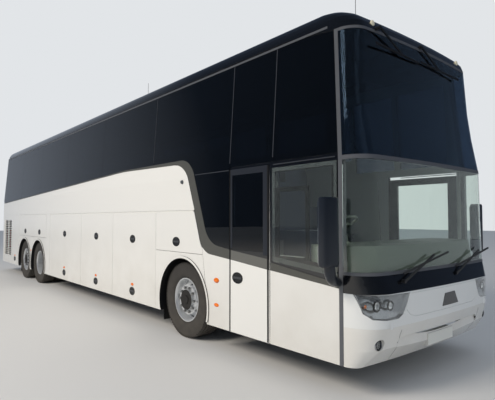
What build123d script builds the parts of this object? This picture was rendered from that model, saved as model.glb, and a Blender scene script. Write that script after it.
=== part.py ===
"""Three-axle high-floor coach bus.

The frame has +X forward, +Y to the bus's left and +Z up, in millimetres.
The origin is on the ground, under the middle of the body.
"""

import os
from math import cos, radians, sin, sqrt

from build123d import *

os.makedirs("parts", exist_ok=True)

# Body envelope
LENGTH = 14100.0
WIDTH = 2550.0
HEIGHT = 3800.0
SKIRT_Z = 290.0
SHOULDER_Z = 2200.0
EAVES_Z = 3570.0
EAVES_FRONT_Z = 3490.0
EAVES_HALF_WIDTH = 1185.0
ROOF_CORNER = 215.0
FACE_RADIUS = 14000.0
WALL = 60.0
GLASS = 8.0
FIT = 0.3
SEAM = 6.0
CLEAR = 6.0

# Ends of the body, measured back from the ends of the length
NOSE_POST_BACK = 355.0
NOSE_POST_LEAN = 105.0
POST_WIDTH = 45.0
POST_PROUD = 3.0
TAIL_JOINT_BACK = 200.0
TAIL_JOINT_LEAN = 70.0
CORNER_RUN = 8.0
SHELL = 40.0

# Front bands, by height
BUMPER_TOP_Z = 650.0
MASK_TOP_Z = 1120.0
GASKET = 30.0
DIVIDER_Z = 2210.0
DIVIDER = 40.0
HEADER = 30.0

# Axles and wheels
FRONT_AXLE_X = 3950.0
WHEELBASE = 6950.0
TAG_SPACING = 1300.0
DRIVE_AXLE_X = FRONT_AXLE_X - WHEELBASE
TAG_AXLE_X = DRIVE_AXLE_X - TAG_SPACING
TYRE_RADIUS = 515.0
TYRE_WIDTH = 295.0
TYRE_SEAT = 288.0
TYRE_INSET = 30.0
TYRE_MID = WIDTH / 2 - TYRE_INSET - TYRE_WIDTH / 2
TWIN_SPACING = 340.0
RIM_FLANGE = 300.0
RIM_HALF = 122.0
RIM_WALL = 10.0
KINGPIN_Y = 930.0
KINGPIN_RADIUS = 22.0
SPINDLE_RADIUS = 40.0
RUNNING_FIT = 0.05

# Wheel arches
FRONT_ARCH = 615.0
REAR_ARCH = 600.0
ARCH_TOP_Z = 1095.0
LINER = 6.0
LIP = 28.0
LIP_ROOT = 5.0
LIP_PROUD = 12.0
LIP_INSIDE = 4.0

# Side doors and flaps
HINGE_Z = 1740.0
HINGE_ROD = 5.0
HOOK = 9.0
HINGE_WEB = 3.0
DOOR = 30.0
HOLD_DOORS = ((-2030.0, 40.0), (40.0, 1600.0), (1600.0, 3173.0))
FLAP_Z = 1170.0
FRONT_FLAP = (3173.0, 4420.0)
REAR_FLAP = (-4850.0, -2330.0)
GRILLE = (-6700.0, -5800.0, 500.0, 1620.0)
GROOVE = 5.0
TAIL_GROOVE = (-4900.0, SKIRT_Z - 1, 2150.0)
FRONT_GROOVE = ((4425.0, FLAP_Z), (4570.0, SKIRT_Z - 1))

# Emergency door, on the right, and passenger door, on the left
EXIT_DOOR = (4997.0, 5701.0)
EXIT_DOOR_TOP_Z = 2240.0
EXIT_DOOR_THICK = 36.0
ENTRY_DOOR = (5600.0, 6600.0)
ENTRY_DOOR_TOP_Z = 2240.0

# Windows
WINDOW_SEAMS = (-4750.0, -2950.0, -970.0, 1020.0, 3050.0, 4990.0, 5750.0)
PILLAR = 90.0
GLASS_REAR_X = -6770.0
GLASS_FRONT_SILL_Z = 2260.0
WINDOW_TOP_Z = 3400.0
CAB_WINDOW = ((5745.0, 1180.0), (6630.0, 1095.0), (6630.0, 2190.0), (5745.0, 2190.0))

# White top edge and glass lower edge on the side, as corners (x, z) and the radii of the inner ones
WHITE_EDGE = ((-6770.0, 2120.0), (2000.0, 2445.0), (3998.0, 2400.0), (4422.0, 1200.0), (6649.0, 990.0))
WHITE_RADII = (9000.0, 450.0, 270.0)
GLASS_EDGE = ((-6770.0, 2140.0), (2000.0, 2470.0), (4125.0, 2460.0), (4545.0, 1325.0), (6649.0, 1035.0))
GLASS_RADII = (9000.0, 400.0, 350.0)

# Inside
FLOOR_Z = 1400.0
FLOOR = 50.0
CAB_FLOOR_Z = 1000.0
CAB_FLOOR_X = 4950.0
HOLD_FLOOR_Z = 440.0
HOLD_FLOOR = 40.0
RAIL_Y = 430.0
RAIL_HEIGHT = 200.0
RAIL_TOP_Z = 860.0
RAIL = 80.0

REACH = 3 * WIDTH
SIDES = {"right": -1, "left": 1}


def half_width(z):
    """Half the body's width at a height."""
    if z <= SHOULDER_Z:
        return WIDTH / 2
    lean = (WIDTH / 2 - EAVES_HALF_WIDTH) * (z - SHOULDER_Z) / (EAVES_Z - SHOULDER_Z)
    if z <= EAVES_Z:
        return WIDTH / 2 - lean
    corner_y = EAVES_HALF_WIDTH - ROOF_CORNER
    corner_z = HEIGHT - CROWN_RISE - ROOF_CORNER
    if z < HEIGHT - CROWN_RISE:
        return corner_y + sqrt(ROOF_CORNER**2 - max(0.0, z - corner_z) ** 2)
    return corner_y * sqrt((HEIGHT - z) / CROWN_RISE)


CROWN_RISE = 29.0
CORNER_Y = EAVES_HALF_WIDTH - ROOF_CORNER
CORNER_Z = HEIGHT - CROWN_RISE - ROOF_CORNER


def post_x(z):
    """Front edge of the corner post at a height."""
    lean = max(0.0, z - SHOULDER_Z) / (EAVES_FRONT_Z - SHOULDER_Z)
    return LENGTH / 2 - NOSE_POST_BACK - NOSE_POST_LEAN * lean


def tail_x(z):
    """Distance behind the origin of the joint between side walls and rear wall."""
    lean = max(0.0, z - SHOULDER_Z) / (EAVES_Z - SHOULDER_Z)
    return LENGTH / 2 - TAIL_JOINT_BACK - TAIL_JOINT_LEAN * lean


def corner_radius(x_face, half, x_start):
    """Plan radius of the corner that starts on the side at x_start and meets the curved face."""
    chord = x_start - x_face + FACE_RADIUS
    return (FACE_RADIUS + half - chord**2 / (FACE_RADIUS - half)) / 2


def end_curve(x_face, half, corner, x_end, depth, toward):
    """Plan line of the nose (toward +1) or tail (-1) at a depth below the skin, right to left."""
    big = FACE_RADIUS - depth
    small = corner - depth
    rise = (half - corner) / (FACE_RADIUS - corner)
    run = sqrt(1 - rise**2)
    x_corner = x_face - FACE_RADIUS + (FACE_RADIUS - corner) * run
    y_corner = half - corner
    # The corner arc turns from the side to the face; its middle is half way round.
    mid_x = sqrt((1 - rise) / 2)
    mid_y = sqrt((1 + rise) / 2)
    side = (x_end, half - depth)
    start = (x_corner, half - depth)
    middle = (x_corner + small * mid_x, y_corner + small * mid_y)
    meet = (x_corner + small * run, y_corner + small * rise)

    def place(point, y_sign):
        return (toward * point[0], y_sign * point[1])

    Line(place(side, -1), place(start, -1))
    ThreePointArc(place(start, -1), place(middle, -1), place(meet, -1))
    ThreePointArc(place(meet, -1), (toward * (x_face - FACE_RADIUS + big), 0), place(meet, 1))
    ThreePointArc(place(meet, 1), place(middle, 1), place(start, 1))
    Line(place(start, 1), place(side, 1))
    return place(side, -1), place(side, 1)


def end_band(rows, near, far, toward, smooth=False):
    """Shell of the nose or tail between two depths; rows hold height, face, corner start and end."""
    sections = []
    for z, x_face, x_start, x_end in rows:
        half = half_width(z)
        corner = corner_radius(x_face, half, x_start)
        with BuildSketch(Plane.XY.offset(z)) as section:
            with BuildLine():
                outer = end_curve(x_face, half, corner, x_end, near, toward)
                inner = end_curve(x_face, half, corner, x_end, far, toward)
                Line(outer[0], inner[0])
                Line(outer[1], inner[1])
            make_face()
        sections.append(section.sketch)
    loft(sections, ruled=not smooth)


def nose_rows(heights_and_setbacks):
    """Rows of a nose band from heights and setbacks behind the front of the length."""
    rows = []
    for z, setback in heights_and_setbacks:
        edge = post_x(z)
        rows.append((z, LENGTH / 2 - setback, edge + CORNER_RUN, edge + FIT))
    return rows


def tail_rows(heights_and_setbacks):
    """Rows of a tail band from heights and setbacks ahead of the back of the length."""
    rows = []
    for z, setback in heights_and_setbacks:
        edge = tail_x(z)
        rows.append((z, LENGTH / 2 - setback, edge + CORNER_RUN, edge + FIT))
    return rows


def side_strip(side, near, far, low, high, x=-LENGTH / 2):
    """Section of the side at x between two depths below the skin and two heights."""
    heights = [low] + [z for z in (SHOULDER_Z,) if low < z < high] + [high]
    outer = [(side * (half_width(z) - near), z) for z in heights]
    inner = [(side * (half_width(z) - far), z) for z in reversed(heights)]
    with BuildSketch(Plane.YZ.offset(x)) as section:
        with BuildLine():
            Polyline(*outer, *inner, close=True)
        make_face()
    return section.sketch


def side_plane(side):
    """Plane inside the side wall whose normal points outwards or inwards past the skin."""
    return Plane.XZ.offset(WIDTH / 4) if side < 0 else Plane.XZ.offset(-WIDTH)


def cut_box(x0, x1, y0, y1, z0, z1, mode=Mode.SUBTRACT):
    """Box between two corners, cut away or added."""
    with Locations(((x0 + x1) / 2, (y0 + y1) / 2, (z0 + z1) / 2)):
        Box(abs(x1 - x0), abs(y1 - y0), abs(z1 - z0), mode=mode)


def side_box(side, x0, x1, near, far, z0, z1, mode=Mode.SUBTRACT):
    """Box between two depths below the vertical part of the side."""
    cut_box(x0, x1, side * (WIDTH / 2 - near), side * (WIDTH / 2 - far), z0, z1, mode)


def side_face(side, *points):
    """Closed outline in side view, on the plane inside one side."""
    with BuildSketch(side_plane(side)) as outline:
        with BuildLine():
            Polyline(*points, close=True)
        make_face()
    return outline.sketch


def through(outline, mode=Mode.SUBTRACT):
    """Extrude an outline across one side of the body."""
    extrude(outline, amount=WIDTH * 3 / 4, mode=mode)


def hinge_plane(side, x0, x1):
    """Section plane of a side hinge: x outwards, y up, and its normal along the hinge."""
    x = x0 if side > 0 else x1
    return Plane(origin=(x, side * (WIDTH / 2 - HOOK), HINGE_Z), x_dir=(0, side, 0), z_dir=(side, 0, 0))


def hinge_rod(plane, length):
    """Rod on a web, fixed to the panel on the plane's +y side."""
    with BuildSketch(plane) as section:
        Circle(HINGE_ROD)
        reach = HOOK + CLEAR + 1
        with Locations((0, reach / 2)):
            Rectangle(HINGE_WEB, reach)
    extrude(section.sketch, amount=length)


def hinge_hook(plane, length):
    """Hook round a hinge rod, open where the rod's web passes in a quarter turn."""
    with BuildSketch(plane) as section:
        Circle(HOOK)
        Circle(HINGE_ROD + FIT, mode=Mode.SUBTRACT)
        slot = HINGE_WEB / 2 + 1
        with Locations(((HOOK - slot) / 2, (HOOK - slot) / 2)):
            Rectangle(HOOK + slot, HOOK + slot, mode=Mode.SUBTRACT)
    extrude(section.sketch, amount=length)


def white_line(shift=0.0):
    """Top edge of the white panels, moved back and down by a shift."""
    points = [(x - shift, z - shift) for x, z in WHITE_EDGE]
    return FilletPolyline(*points, radius=WHITE_RADII)


def glass_line():
    """Lower edge of the dark side glass."""
    return FilletPolyline(*GLASS_EDGE, radius=GLASS_RADII)


def dark_zone(side, shift=0.0, mode=Mode.SUBTRACT):
    """Cut or keep all of one side above the white panels."""
    with BuildSketch(side_plane(side)) as zone:
        with BuildLine():
            line = white_line(shift)
            start = line @ 0
            end = line @ 1
            Polyline(end, (end.X, HEIGHT), (start.X, HEIGHT), start)
        make_face()
    through(zone.sketch, mode)


def skin_layer(side, outline_depth, proud):
    """Plane and thickness of a layer of the flat skin, from a depth to a height above it."""
    thickness = outline_depth + proud
    offset_y = WIDTH / 2 - outline_depth if side < 0 else -WIDTH / 2 - proud
    return Plane.XZ.offset(offset_y), thickness


def skin_groove(side, *points):
    """Cut a closed outline a little way into the skin."""
    plane, thickness = skin_layer(side, GROOVE, 1)
    with BuildSketch(plane) as outline:
        with BuildLine():
            Polyline(*points, close=True)
        make_face()
    extrude(outline.sketch, amount=thickness, mode=Mode.SUBTRACT)


def arch_lip(side, x, radius):
    """Rolled lip round a wheel arch."""
    plane, thickness = skin_layer(side, LIP_ROOT, LIP_PROUD)
    with BuildSketch(plane) as ring:
        with Locations((x, ARCH_TOP_Z - radius)):
            Circle(radius + LIP)
            Circle(radius - LIP_INSIDE, mode=Mode.SUBTRACT)
        with Locations((x, SKIRT_Z + LIP - radius)):
            Rectangle(3 * radius, 2 * radius, mode=Mode.SUBTRACT)
    extrude(ring.sketch, amount=thickness)


# Side walls
def wall_outline(side):
    """Outline of a side wall in side view."""
    rear_low = -tail_x(SKIRT_Z)
    rear_top = -tail_x(EAVES_Z)
    front = [(post_x(z) - POST_WIDTH - FIT, z) for z in (SKIRT_Z, SHOULDER_Z, EAVES_FRONT_Z - FIT)]
    return side_face(
        side,
        (rear_low, SKIRT_Z),
        *front,
        (EAVES_BREAK_X, EAVES_Z - FIT),
        (rear_top, EAVES_Z - FIT),
        (rear_low, SHOULDER_Z),
    )


EAVES_BREAK_X = 5900.0


def arch_cut(side, x, radius):
    """Wheel arch cut through one side."""
    with BuildSketch(side_plane(side)) as opening:
        with Locations((x, ARCH_TOP_Z - radius)):
            Circle(radius)
        with Locations((x, SKIRT_Z / 2)):
            Rectangle(radius * 1.94, SKIRT_Z * 1.3)
    through(opening.sketch)


ARCHES = ((FRONT_AXLE_X - 20, FRONT_ARCH), (DRIVE_AXLE_X, REAR_ARCH), (TAG_AXLE_X, REAR_ARCH))


def glass_outline(side):
    """Outline of all the dark side glass in side view."""
    top_front = post_x(EAVES_FRONT_Z) - POST_WIDTH - CLEAR
    with BuildSketch(side_plane(side)) as outline:
        with BuildLine():
            edge = glass_line()
            Polyline(
                edge @ 1,
                (GLASS_EDGE[-1][0], SHOULDER_Z),
                (top_front, EAVES_FRONT_Z - 2 * CLEAR),
                (EAVES_BREAK_X, EAVES_Z - 2 * CLEAR),
                (GLASS_REAR_X, EAVES_Z - 2 * CLEAR),
                edge @ 0,
            )
        make_face()
    return outline.sketch


def side_wall(side):
    """One side wall with its openings, rebates and hinge rods."""
    recess = DOOR + CLEAR
    with BuildPart() as wall:
        extrude(side_strip(side, 0, WALL, SKIRT_Z, EAVES_Z), amount=LENGTH)
        through(wall_outline(side), Mode.INTERSECT)
        for x, radius in ARCHES:
            arch_cut(side, x, radius)
        x, z0, z1 = TAIL_GROOVE
        half = GROOVE / 2
        skin_groove(side, (x - half, z0), (x + half, z0), (x + half, z1), (x - half, z1))
        skin_groove(side, (-LENGTH, HINGE_Z), (x, HINGE_Z), (x, HINGE_Z + GROOVE), (-LENGTH, HINGE_Z + GROOVE))
        (x_top, z_top), (x_low, z_low) = FRONT_GROOVE
        skin_groove(side, (x_top, z_top), (x_top + GROOVE, z_top), (x_low + GROOVE, z_low), (x_low, z_low))
        # Bays for the hold doors and the arch flaps, with frames left behind them
        top = HINGE_Z + HOOK + CLEAR
        x_low = HOLD_DOORS[0][0] - SEAM / 2
        x_high = HOLD_DOORS[-1][1]
        side_box(side, x_low, x_high, -1, recess, SKIRT_Z - 1, top)
        for x0, x1 in HOLD_DOORS:
            side_box(side, x0 + FRAME, x1 - FRAME, 0, 2 * WALL, HOLD_FLOOR_Z + 10, top - 2 * FRAME)
        side_box(side, REAR_FLAP[0] - SEAM / 2, REAR_FLAP[1] + SEAM / 2, -1, recess, FLAP_Z - SEAM / 2, top)
        rear_window = (REAR_FLAP[0] + FRAME, REAR_FLAP[1] - FRAME)
        side_box(side, *rear_window, 0, 2 * WALL, FLAP_Z + FRAME, top - 2 * FRAME)
        side_box(side, GRILLE[0], GRILLE[1], -1, 2 * WALL, GRILLE[2], GRILLE[3])
    with BuildPart() as flap_bay:
        side_box(side, x_high - 1, FRONT_FLAP[1], -1, recess, FLAP_Z - SEAM / 2, top, Mode.ADD)
        side_box(side, x_high + FRAME, FRONT_FLAP[1] - 4 * FRAME, 0, 2 * WALL, FLAP_Z + FRAME, top - 2 * FRAME, Mode.ADD)
        dark_zone(side, SEAM)
    with BuildPart() as rods:
        for x0, x1 in ((x_low, FRONT_HINGE_X), (REAR_FLAP[0] - SEAM / 2, REAR_FLAP[1] + SEAM / 2)):
            hinge_rod(hinge_plane(side, x0 - 1, x1 + 1), x1 - x0 + 2)
    with BuildPart() as glass_bed:
        extrude(side_strip(side, -1, GLASS + FIT, MASK_TOP_Z / 2, EAVES_Z), amount=LENGTH)
        dark_zone(side, 0.0, Mode.INTERSECT)
    with BuildPart() as finished:
        add(wall.part)
        add(flap_bay.part, mode=Mode.SUBTRACT)
        add(rods.part)
        add(glass_bed.part, mode=Mode.SUBTRACT)
        for x, radius in ARCHES:
            arch_lip(side, x, radius)
        for x0, x1, z0, z1 in WALL_JOINTS:
            side_box(side, x0, x1, -2 * LIP_PROUD, 3 * WALL, z0, z1)
        for low, high, sill in WINDOWS:
            side_box(side, low, high, -1, 3 * WALL, sill, WINDOW_TOP_Z)
        cab = [(x - 40 if x > 6000 else x + 40, z - 40 if z > 1500 else z + 50) for x, z in CAB_WINDOW]
        if side < 0:
            through(side_face(side, *cab))
            exit_recess(side)
        else:
            side_box(side, *ENTRY_DOOR, -1, 3 * WALL, SKIRT_Z - 1, ENTRY_DOOR_TOP_Z)
    return finished.part


FRAME = 45.0
FRONT_HINGE_X = 4190.0
WINDOWS = (
    (GLASS_REAR_X + PILLAR, WINDOW_SEAMS[0] - PILLAR / 2, 2330.0),
    (WINDOW_SEAMS[0] + PILLAR / 2, WINDOW_SEAMS[1] - PILLAR / 2, 2400.0),
    (WINDOW_SEAMS[1] + PILLAR / 2, WINDOW_SEAMS[2] - PILLAR / 2, 2460.0),
    (WINDOW_SEAMS[2] + PILLAR / 2, WINDOW_SEAMS[3] - PILLAR / 2, 2520.0),
    (WINDOW_SEAMS[3] + PILLAR / 2, WINDOW_SEAMS[4] - PILLAR / 2, 2550.0),
    (WINDOW_SEAMS[4] + PILLAR / 2, WINDOW_SEAMS[5] - PILLAR / 2, 2550.0),
    (WINDOW_SEAMS[5] + PILLAR / 2, WINDOW_SEAMS[6] - PILLAR / 2, 2340.0),
    (WINDOW_SEAMS[6] + PILLAR / 2, 6480.0, 2340.0),
)


def exit_plane(outset=0.0):
    """Section plane of the emergency door's hinge: x outwards, y forward, normal upwards."""
    origin = (EXIT_DOOR[1], -WIDTH / 2 + HOOK, SKIRT_Z + SEAM / 2)
    return Plane(origin=origin, x_dir=(0, -1, 0), z_dir=(0, 0, 1))


def exit_recess(side):
    """Opening, rebate and hinge rod for the emergency door."""
    x0 = EXIT_DOOR[0] - SEAM / 2
    x1 = EXIT_DOOR[1] + HOOK + CLEAR
    side_box(side, x0, x1, -1, EXIT_DOOR_THICK + CLEAR, SKIRT_Z - 1, EXIT_DOOR_TOP_Z)
    side_box(side, x0 + FRAME, x1 - FRAME, -1, 3 * WALL, SKIRT_Z + FRAME, EXIT_DOOR_TOP_Z - FRAME)
    hinge_rod(exit_plane(), EXIT_DOOR_TOP_Z - SKIRT_Z - SEAM / 2)


# Joints between wall panels, pillars and cantrail, as x from and to, z from and to
BAY_TOP_Z = HINGE_Z + HOOK + CLEAR
BAY_SILL_Z = HOLD_FLOOR_Z + 10
REAR_JOINT_X = HOLD_DOORS[0][0] - SEAM
MID_JOINT_X = HOLD_DOORS[-1][1]
FRONT_JOINT_X = FRONT_FLAP[1] + 5
WALL_JOINTS = [
    (-LENGTH / 2, FRONT_JOINT_X, BAY_TOP_Z, BAY_TOP_Z + FIT),
    (REAR_JOINT_X, REAR_JOINT_X + FIT, SKIRT_Z - 1, BAY_TOP_Z + FIT),
    (MID_JOINT_X, MID_JOINT_X + FIT, SKIRT_Z - 1, BAY_TOP_Z + FIT),
    (FRONT_JOINT_X, FRONT_JOINT_X + FIT, SKIRT_Z - 1, WINDOWS[5][2] + 1),
    (REAR_JOINT_X, MID_JOINT_X, BAY_SILL_Z, BAY_SILL_Z + FIT),
    (REAR_JOINT_X, MID_JOINT_X, BAY_TOP_Z - 2 * FRAME - FIT, BAY_TOP_Z - 2 * FRAME),
    (-LENGTH / 2, LENGTH / 2, WINDOW_TOP_Z - FIT, WINDOW_TOP_Z),
]
edges = [-LENGTH / 2] + [x for low, high, sill in WINDOWS for x in (low, high)] + [LENGTH / 2]
sills = [WINDOWS[0][2]] + [sill for low, high, sill in WINDOWS] + [WINDOWS[-1][2]]
for number in range(0, len(edges), 2):
    sill = max(sills[number // 2], sills[number // 2 + 1])
    WALL_JOINTS.append((edges[number] - 1, edges[number + 1] + 1, sill, sill + FIT))

for name, side in SIDES.items():
    wall = side_wall(side)
    wall.label = "side_wall_" + name
    export_step(wall, "parts/" + wall.label + ".step")

# Hold doors and arch flaps
for name, side in SIDES.items():
    for number, (x0, x1) in enumerate(HOLD_DOORS, 1):
        low = x0 + SEAM / 2
        high = x1 - SEAM / 2
        with BuildPart() as hold_door:
            side_box(side, low, high, 0, DOOR, SKIRT_Z, HINGE_Z - HOOK + HINGE_WEB, Mode.ADD)
            hinge_hook(hinge_plane(side, low, high), high - low)
        hold_door.part.label = "hold_door_" + name + "_" + str(number)
        export_step(hold_door.part, "parts/" + hold_door.part.label + ".step")

    with BuildPart() as rear_flap:
        low = REAR_FLAP[0] + SEAM / 2
        high = REAR_FLAP[1] - SEAM / 2
        side_box(side, low, high, 0, DOOR, FLAP_Z + SEAM / 2, HINGE_Z - HOOK + HINGE_WEB, Mode.ADD)
        hinge_hook(hinge_plane(side, low, high), high - low)
    rear_flap.part.label = "rear_arch_flap_" + name
    export_step(rear_flap.part, "parts/" + rear_flap.part.label + ".step")

    with BuildPart() as front_flap:
        low = FRONT_FLAP[0] + SEAM / 2
        side_box(side, low, FRONT_FLAP[1] - SEAM, 0, DOOR, FLAP_Z + SEAM / 2, HINGE_Z - HOOK + HINGE_WEB, Mode.ADD)
        dark_zone(side, 2 * SEAM)
        hinge_hook(hinge_plane(side, low, FRONT_HINGE_X), FRONT_HINGE_X - low)
    front_flap.part.label = "front_arch_flap_" + name
    export_step(front_flap.part, "parts/" + front_flap.part.label + ".step")

# Emergency door and its glass
exit_low = EXIT_DOOR[0] + SEAM / 2
exit_high = EXIT_DOOR[1] - HOOK + HINGE_WEB
exit_top = EXIT_DOOR_TOP_Z - SEAM
exit_sill = 1265.0
EXIT_RIM = 35.0
with BuildPart() as emergency_door:
    side_box(-1, exit_low, exit_high, 0, EXIT_DOOR_THICK, SKIRT_Z, SHOULDER_Z, Mode.ADD)
    extrude(side_strip(-1, 0, EXIT_DOOR_THICK, SHOULDER_Z - 1, exit_top, exit_low), amount=exit_high - exit_low)
    side_box(-1, exit_low + EXIT_RIM, exit_high - EXIT_RIM, -1, GLASS + FIT, exit_sill, SHOULDER_Z - EXIT_RIM)
    side_box(
        -1, exit_low + 2 * EXIT_RIM, exit_high - 2 * EXIT_RIM, 0, 2 * WALL, exit_sill + EXIT_RIM, SHOULDER_Z - 2 * EXIT_RIM
    )
    hinge_hook(exit_plane(), exit_top - SKIRT_Z - SEAM / 2)
emergency_door.part.label = "emergency_door"
export_step(emergency_door.part, "parts/emergency_door.step")

with BuildPart() as emergency_glass:
    inset = EXIT_RIM + FIT
    side_box(-1, exit_low + inset, exit_high - inset, 0, GLASS, exit_sill + FIT, SHOULDER_Z - inset, Mode.ADD)
emergency_glass.part.label = "emergency_door_glass"
export_step(emergency_glass.part, "parts/emergency_door_glass.step")

# Dark glass bonded along both sides
def side_sheet(side):
    """Panes of one side, parted at the seams."""
    door = EXIT_DOOR if side < 0 else ENTRY_DOOR
    with BuildPart() as sheet:
        extrude(side_strip(side, 0, GLASS, MASK_TOP_Z / 2, EAVES_Z), amount=LENGTH)
        through(glass_outline(side), Mode.INTERSECT)
        for x in WINDOW_SEAMS:
            cut_box(x - SEAM / 2, x + SEAM / 2, side * WIDTH / 4, side * WIDTH, SKIRT_Z, HEIGHT)
        cut_box(door[0] - SEAM, REACH, side * WIDTH / 4, side * WIDTH, SKIRT_Z, GLASS_FRONT_SILL_Z)
    return sheet.part


sheets = [side_sheet(side) for side in SIDES.values()]

# Grey bands between the white panels and the dark glass
def waist_band(side):
    """Band of one side, broken at the door."""
    with BuildSketch(side_plane(side)) as outline:
        with BuildLine():
            low_edge = white_line(-2 * FIT)
            high_edge = glass_line()
            Line(low_edge @ 0, high_edge @ 0)
            Line(low_edge @ 1, high_edge @ 1)
        make_face()
    with BuildPart() as band:
        extrude(side_strip(side, 0, GLASS, MASK_TOP_Z / 2, EAVES_Z), amount=LENGTH)
        through(outline.sketch, Mode.INTERSECT)
        cut_start = EXIT_DOOR[0] - SEAM if side < 0 else ENTRY_DOOR[0] - SEAM
        cut_end = EXIT_DOOR[1] + HOOK + CLEAR + SEAM if side < 0 else REACH
        cut_box(cut_start, cut_end, side * WIDTH / 4, side * WIDTH, SKIRT_Z, HEIGHT)
        cut_box(WHITE_EDGE[-1][0] - FIT, REACH, side * WIDTH / 4, side * WIDTH, SKIRT_Z, HEIGHT)
    return band.part


bands = [waist_band(side) for side in SIDES.values()]
with BuildPart() as waist_bands:
    add(bands)
waist_bands.part.label = "waist_bands"
export_step(waist_bands.part, "parts/waist_bands.step")

# Nose bands
BUMPER_RECESS = ((-800, 330), (-840, 490), (-760, 540), (760, 540), (840, 490), (800, 330))
RECESS_X = 6958.0
PLATE_SEAT = (6966.0, 260.0, 355.0, 475.0)
FOG_LAMP = (1088.0, 500.0, 52.0)
with BuildPart() as front_bumper:
    end_band(nose_rows(((SKIRT_Z, 180), (450, 62), (BUMPER_TOP_Z - FIT, 5))), 0, SHELL, 1)
    y, z, radius = FOG_LAMP
    for side in SIDES.values():
        with BuildSketch(Plane.YZ.offset(RECESS_X - 100)) as fog_hole:
            with Locations((side * y, z)):
                Circle(radius)
        extrude(fog_hole.sketch, amount=200, mode=Mode.SUBTRACT)
    with BuildSketch(Plane.YZ.offset(RECESS_X)) as recess:
        Polygon(*BUMPER_RECESS, align=None)
    extrude(recess.sketch, amount=200, mode=Mode.SUBTRACT)
    face, half, low, high = PLATE_SEAT
    cut_box(face - 76, face, -half, half, low, high, Mode.ADD)
front_bumper.part.label = "front_bumper"
export_step(front_bumper.part, "parts/front_bumper.step")

NOSE_DEPTH = 600.0
HEADLAMP = ((-1262, 955), (-705, 945), (-745, 850), (-815, 750), (-880, 722), (-1050, 722), (-1170, 735), (-1225, 785))


def headlamp_outline(side, grow):
    """Outline of a headlamp in front view."""
    with BuildSketch(Plane.YZ.offset(LENGTH / 2 - NOSE_DEPTH)) as outline:
        with BuildLine():
            points = [(-side * y, z) for y, z in HEADLAMP]
            Polyline(*points, close=True)
        make_face()
        if grow:
            offset(amount=grow, kind=Kind.INTERSECTION)
    return outline.sketch


MASK = ((BUMPER_TOP_Z, 5), (950, 0), (MASK_TOP_Z, 45))
SERVICE_FLAP = ((-800, 940), (-750, 780), (-700, 735), (-620, 710), (620, 710), (700, 735), (750, 780), (800, 940))
with BuildPart() as flap_groove:
    end_band(nose_rows(MASK), -2, GROOVE, 1)
    with BuildSketch(Plane.YZ.offset(LENGTH / 2 - NOSE_DEPTH)) as ring:
        with BuildLine():
            Polyline(*SERVICE_FLAP, close=True)
        make_face()
        offset(amount=-GROOVE, kind=Kind.INTERSECTION, mode=Mode.SUBTRACT)
    extrude(ring.sketch, amount=2 * NOSE_DEPTH, mode=Mode.INTERSECT)
with BuildPart() as front_mask:
    end_band(nose_rows(MASK), 0, SHELL, 1)
    add(flap_groove.part, mode=Mode.SUBTRACT)
    for side in SIDES.values():
        extrude(headlamp_outline(side, FIT), amount=2 * NOSE_DEPTH, mode=Mode.SUBTRACT)
front_mask.part.label = "front_mask"
export_step(front_mask.part, "parts/front_mask.step")

with BuildPart() as headlamps:
    end_band(nose_rows(MASK), 0, SHELL, 1)
    lenses = [headlamp_outline(side, 0).face() for side in SIDES.values()]
    extrude(lenses, amount=2 * NOSE_DEPTH, mode=Mode.INTERSECT)
    y, z, radius = FOG_LAMP
    with BuildSketch(Plane.YZ.offset(RECESS_X - 55)) as fog_lamps:
        with Locations((-y, z), (y, z)):
            Circle(radius - FIT)
    extrude(fog_lamps.sketch, amount=40)
headlamps.part.label = "headlamps"
export_step(headlamps.part, "parts/headlamps.step")

SCREEN = 10.0
LOWER_SCREEN = ((MASK_TOP_Z + GASKET, 52), (DIVIDER_Z - DIVIDER / 2, 82))
UPPER_SCREEN = ((DIVIDER_Z + DIVIDER / 2, 85), (2620, 160), (2940, 200), (EAVES_FRONT_Z - HEADER, 220))
with BuildPart() as windscreen_lower:
    rows = [(LOWER_SCREEN[0][0] + FIT, 52), (LOWER_SCREEN[1][0] - FIT, 82)]
    end_band(nose_rows(rows), 0, SCREEN, 1)
windscreen_lower.part.label = "windscreen_lower"
export_step(windscreen_lower.part, "parts/windscreen_lower.step")

with BuildPart() as windscreen_upper:
    rows = list(UPPER_SCREEN)
    rows[0] = (rows[0][0] + FIT, rows[0][1])
    rows[-1] = (rows[-1][0] - FIT, rows[-1][1])
    end_band(nose_rows(rows), 0, SCREEN, 1)
windscreen_upper.part.label = "windscreen_upper"
export_step(windscreen_upper.part, "parts/windscreen_upper.step")

# Corner posts, gasket, divider and header round the screens
def corner_post(side):
    """Post between a side wall and the nose."""
    front = [(post_x(z), z) for z in (SKIRT_Z, SHOULDER_Z, EAVES_FRONT_Z)]
    back = [(x - POST_WIDTH, z) for x, z in reversed(front)]
    with BuildPart() as post:
        extrude(side_strip(side, -POST_PROUD, WALL, SKIRT_Z, EAVES_FRONT_Z - FIT, LENGTH / 4), amount=LENGTH / 4)
        through(side_face(side, *front, *back), Mode.INTERSECT)
    return post.part


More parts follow.
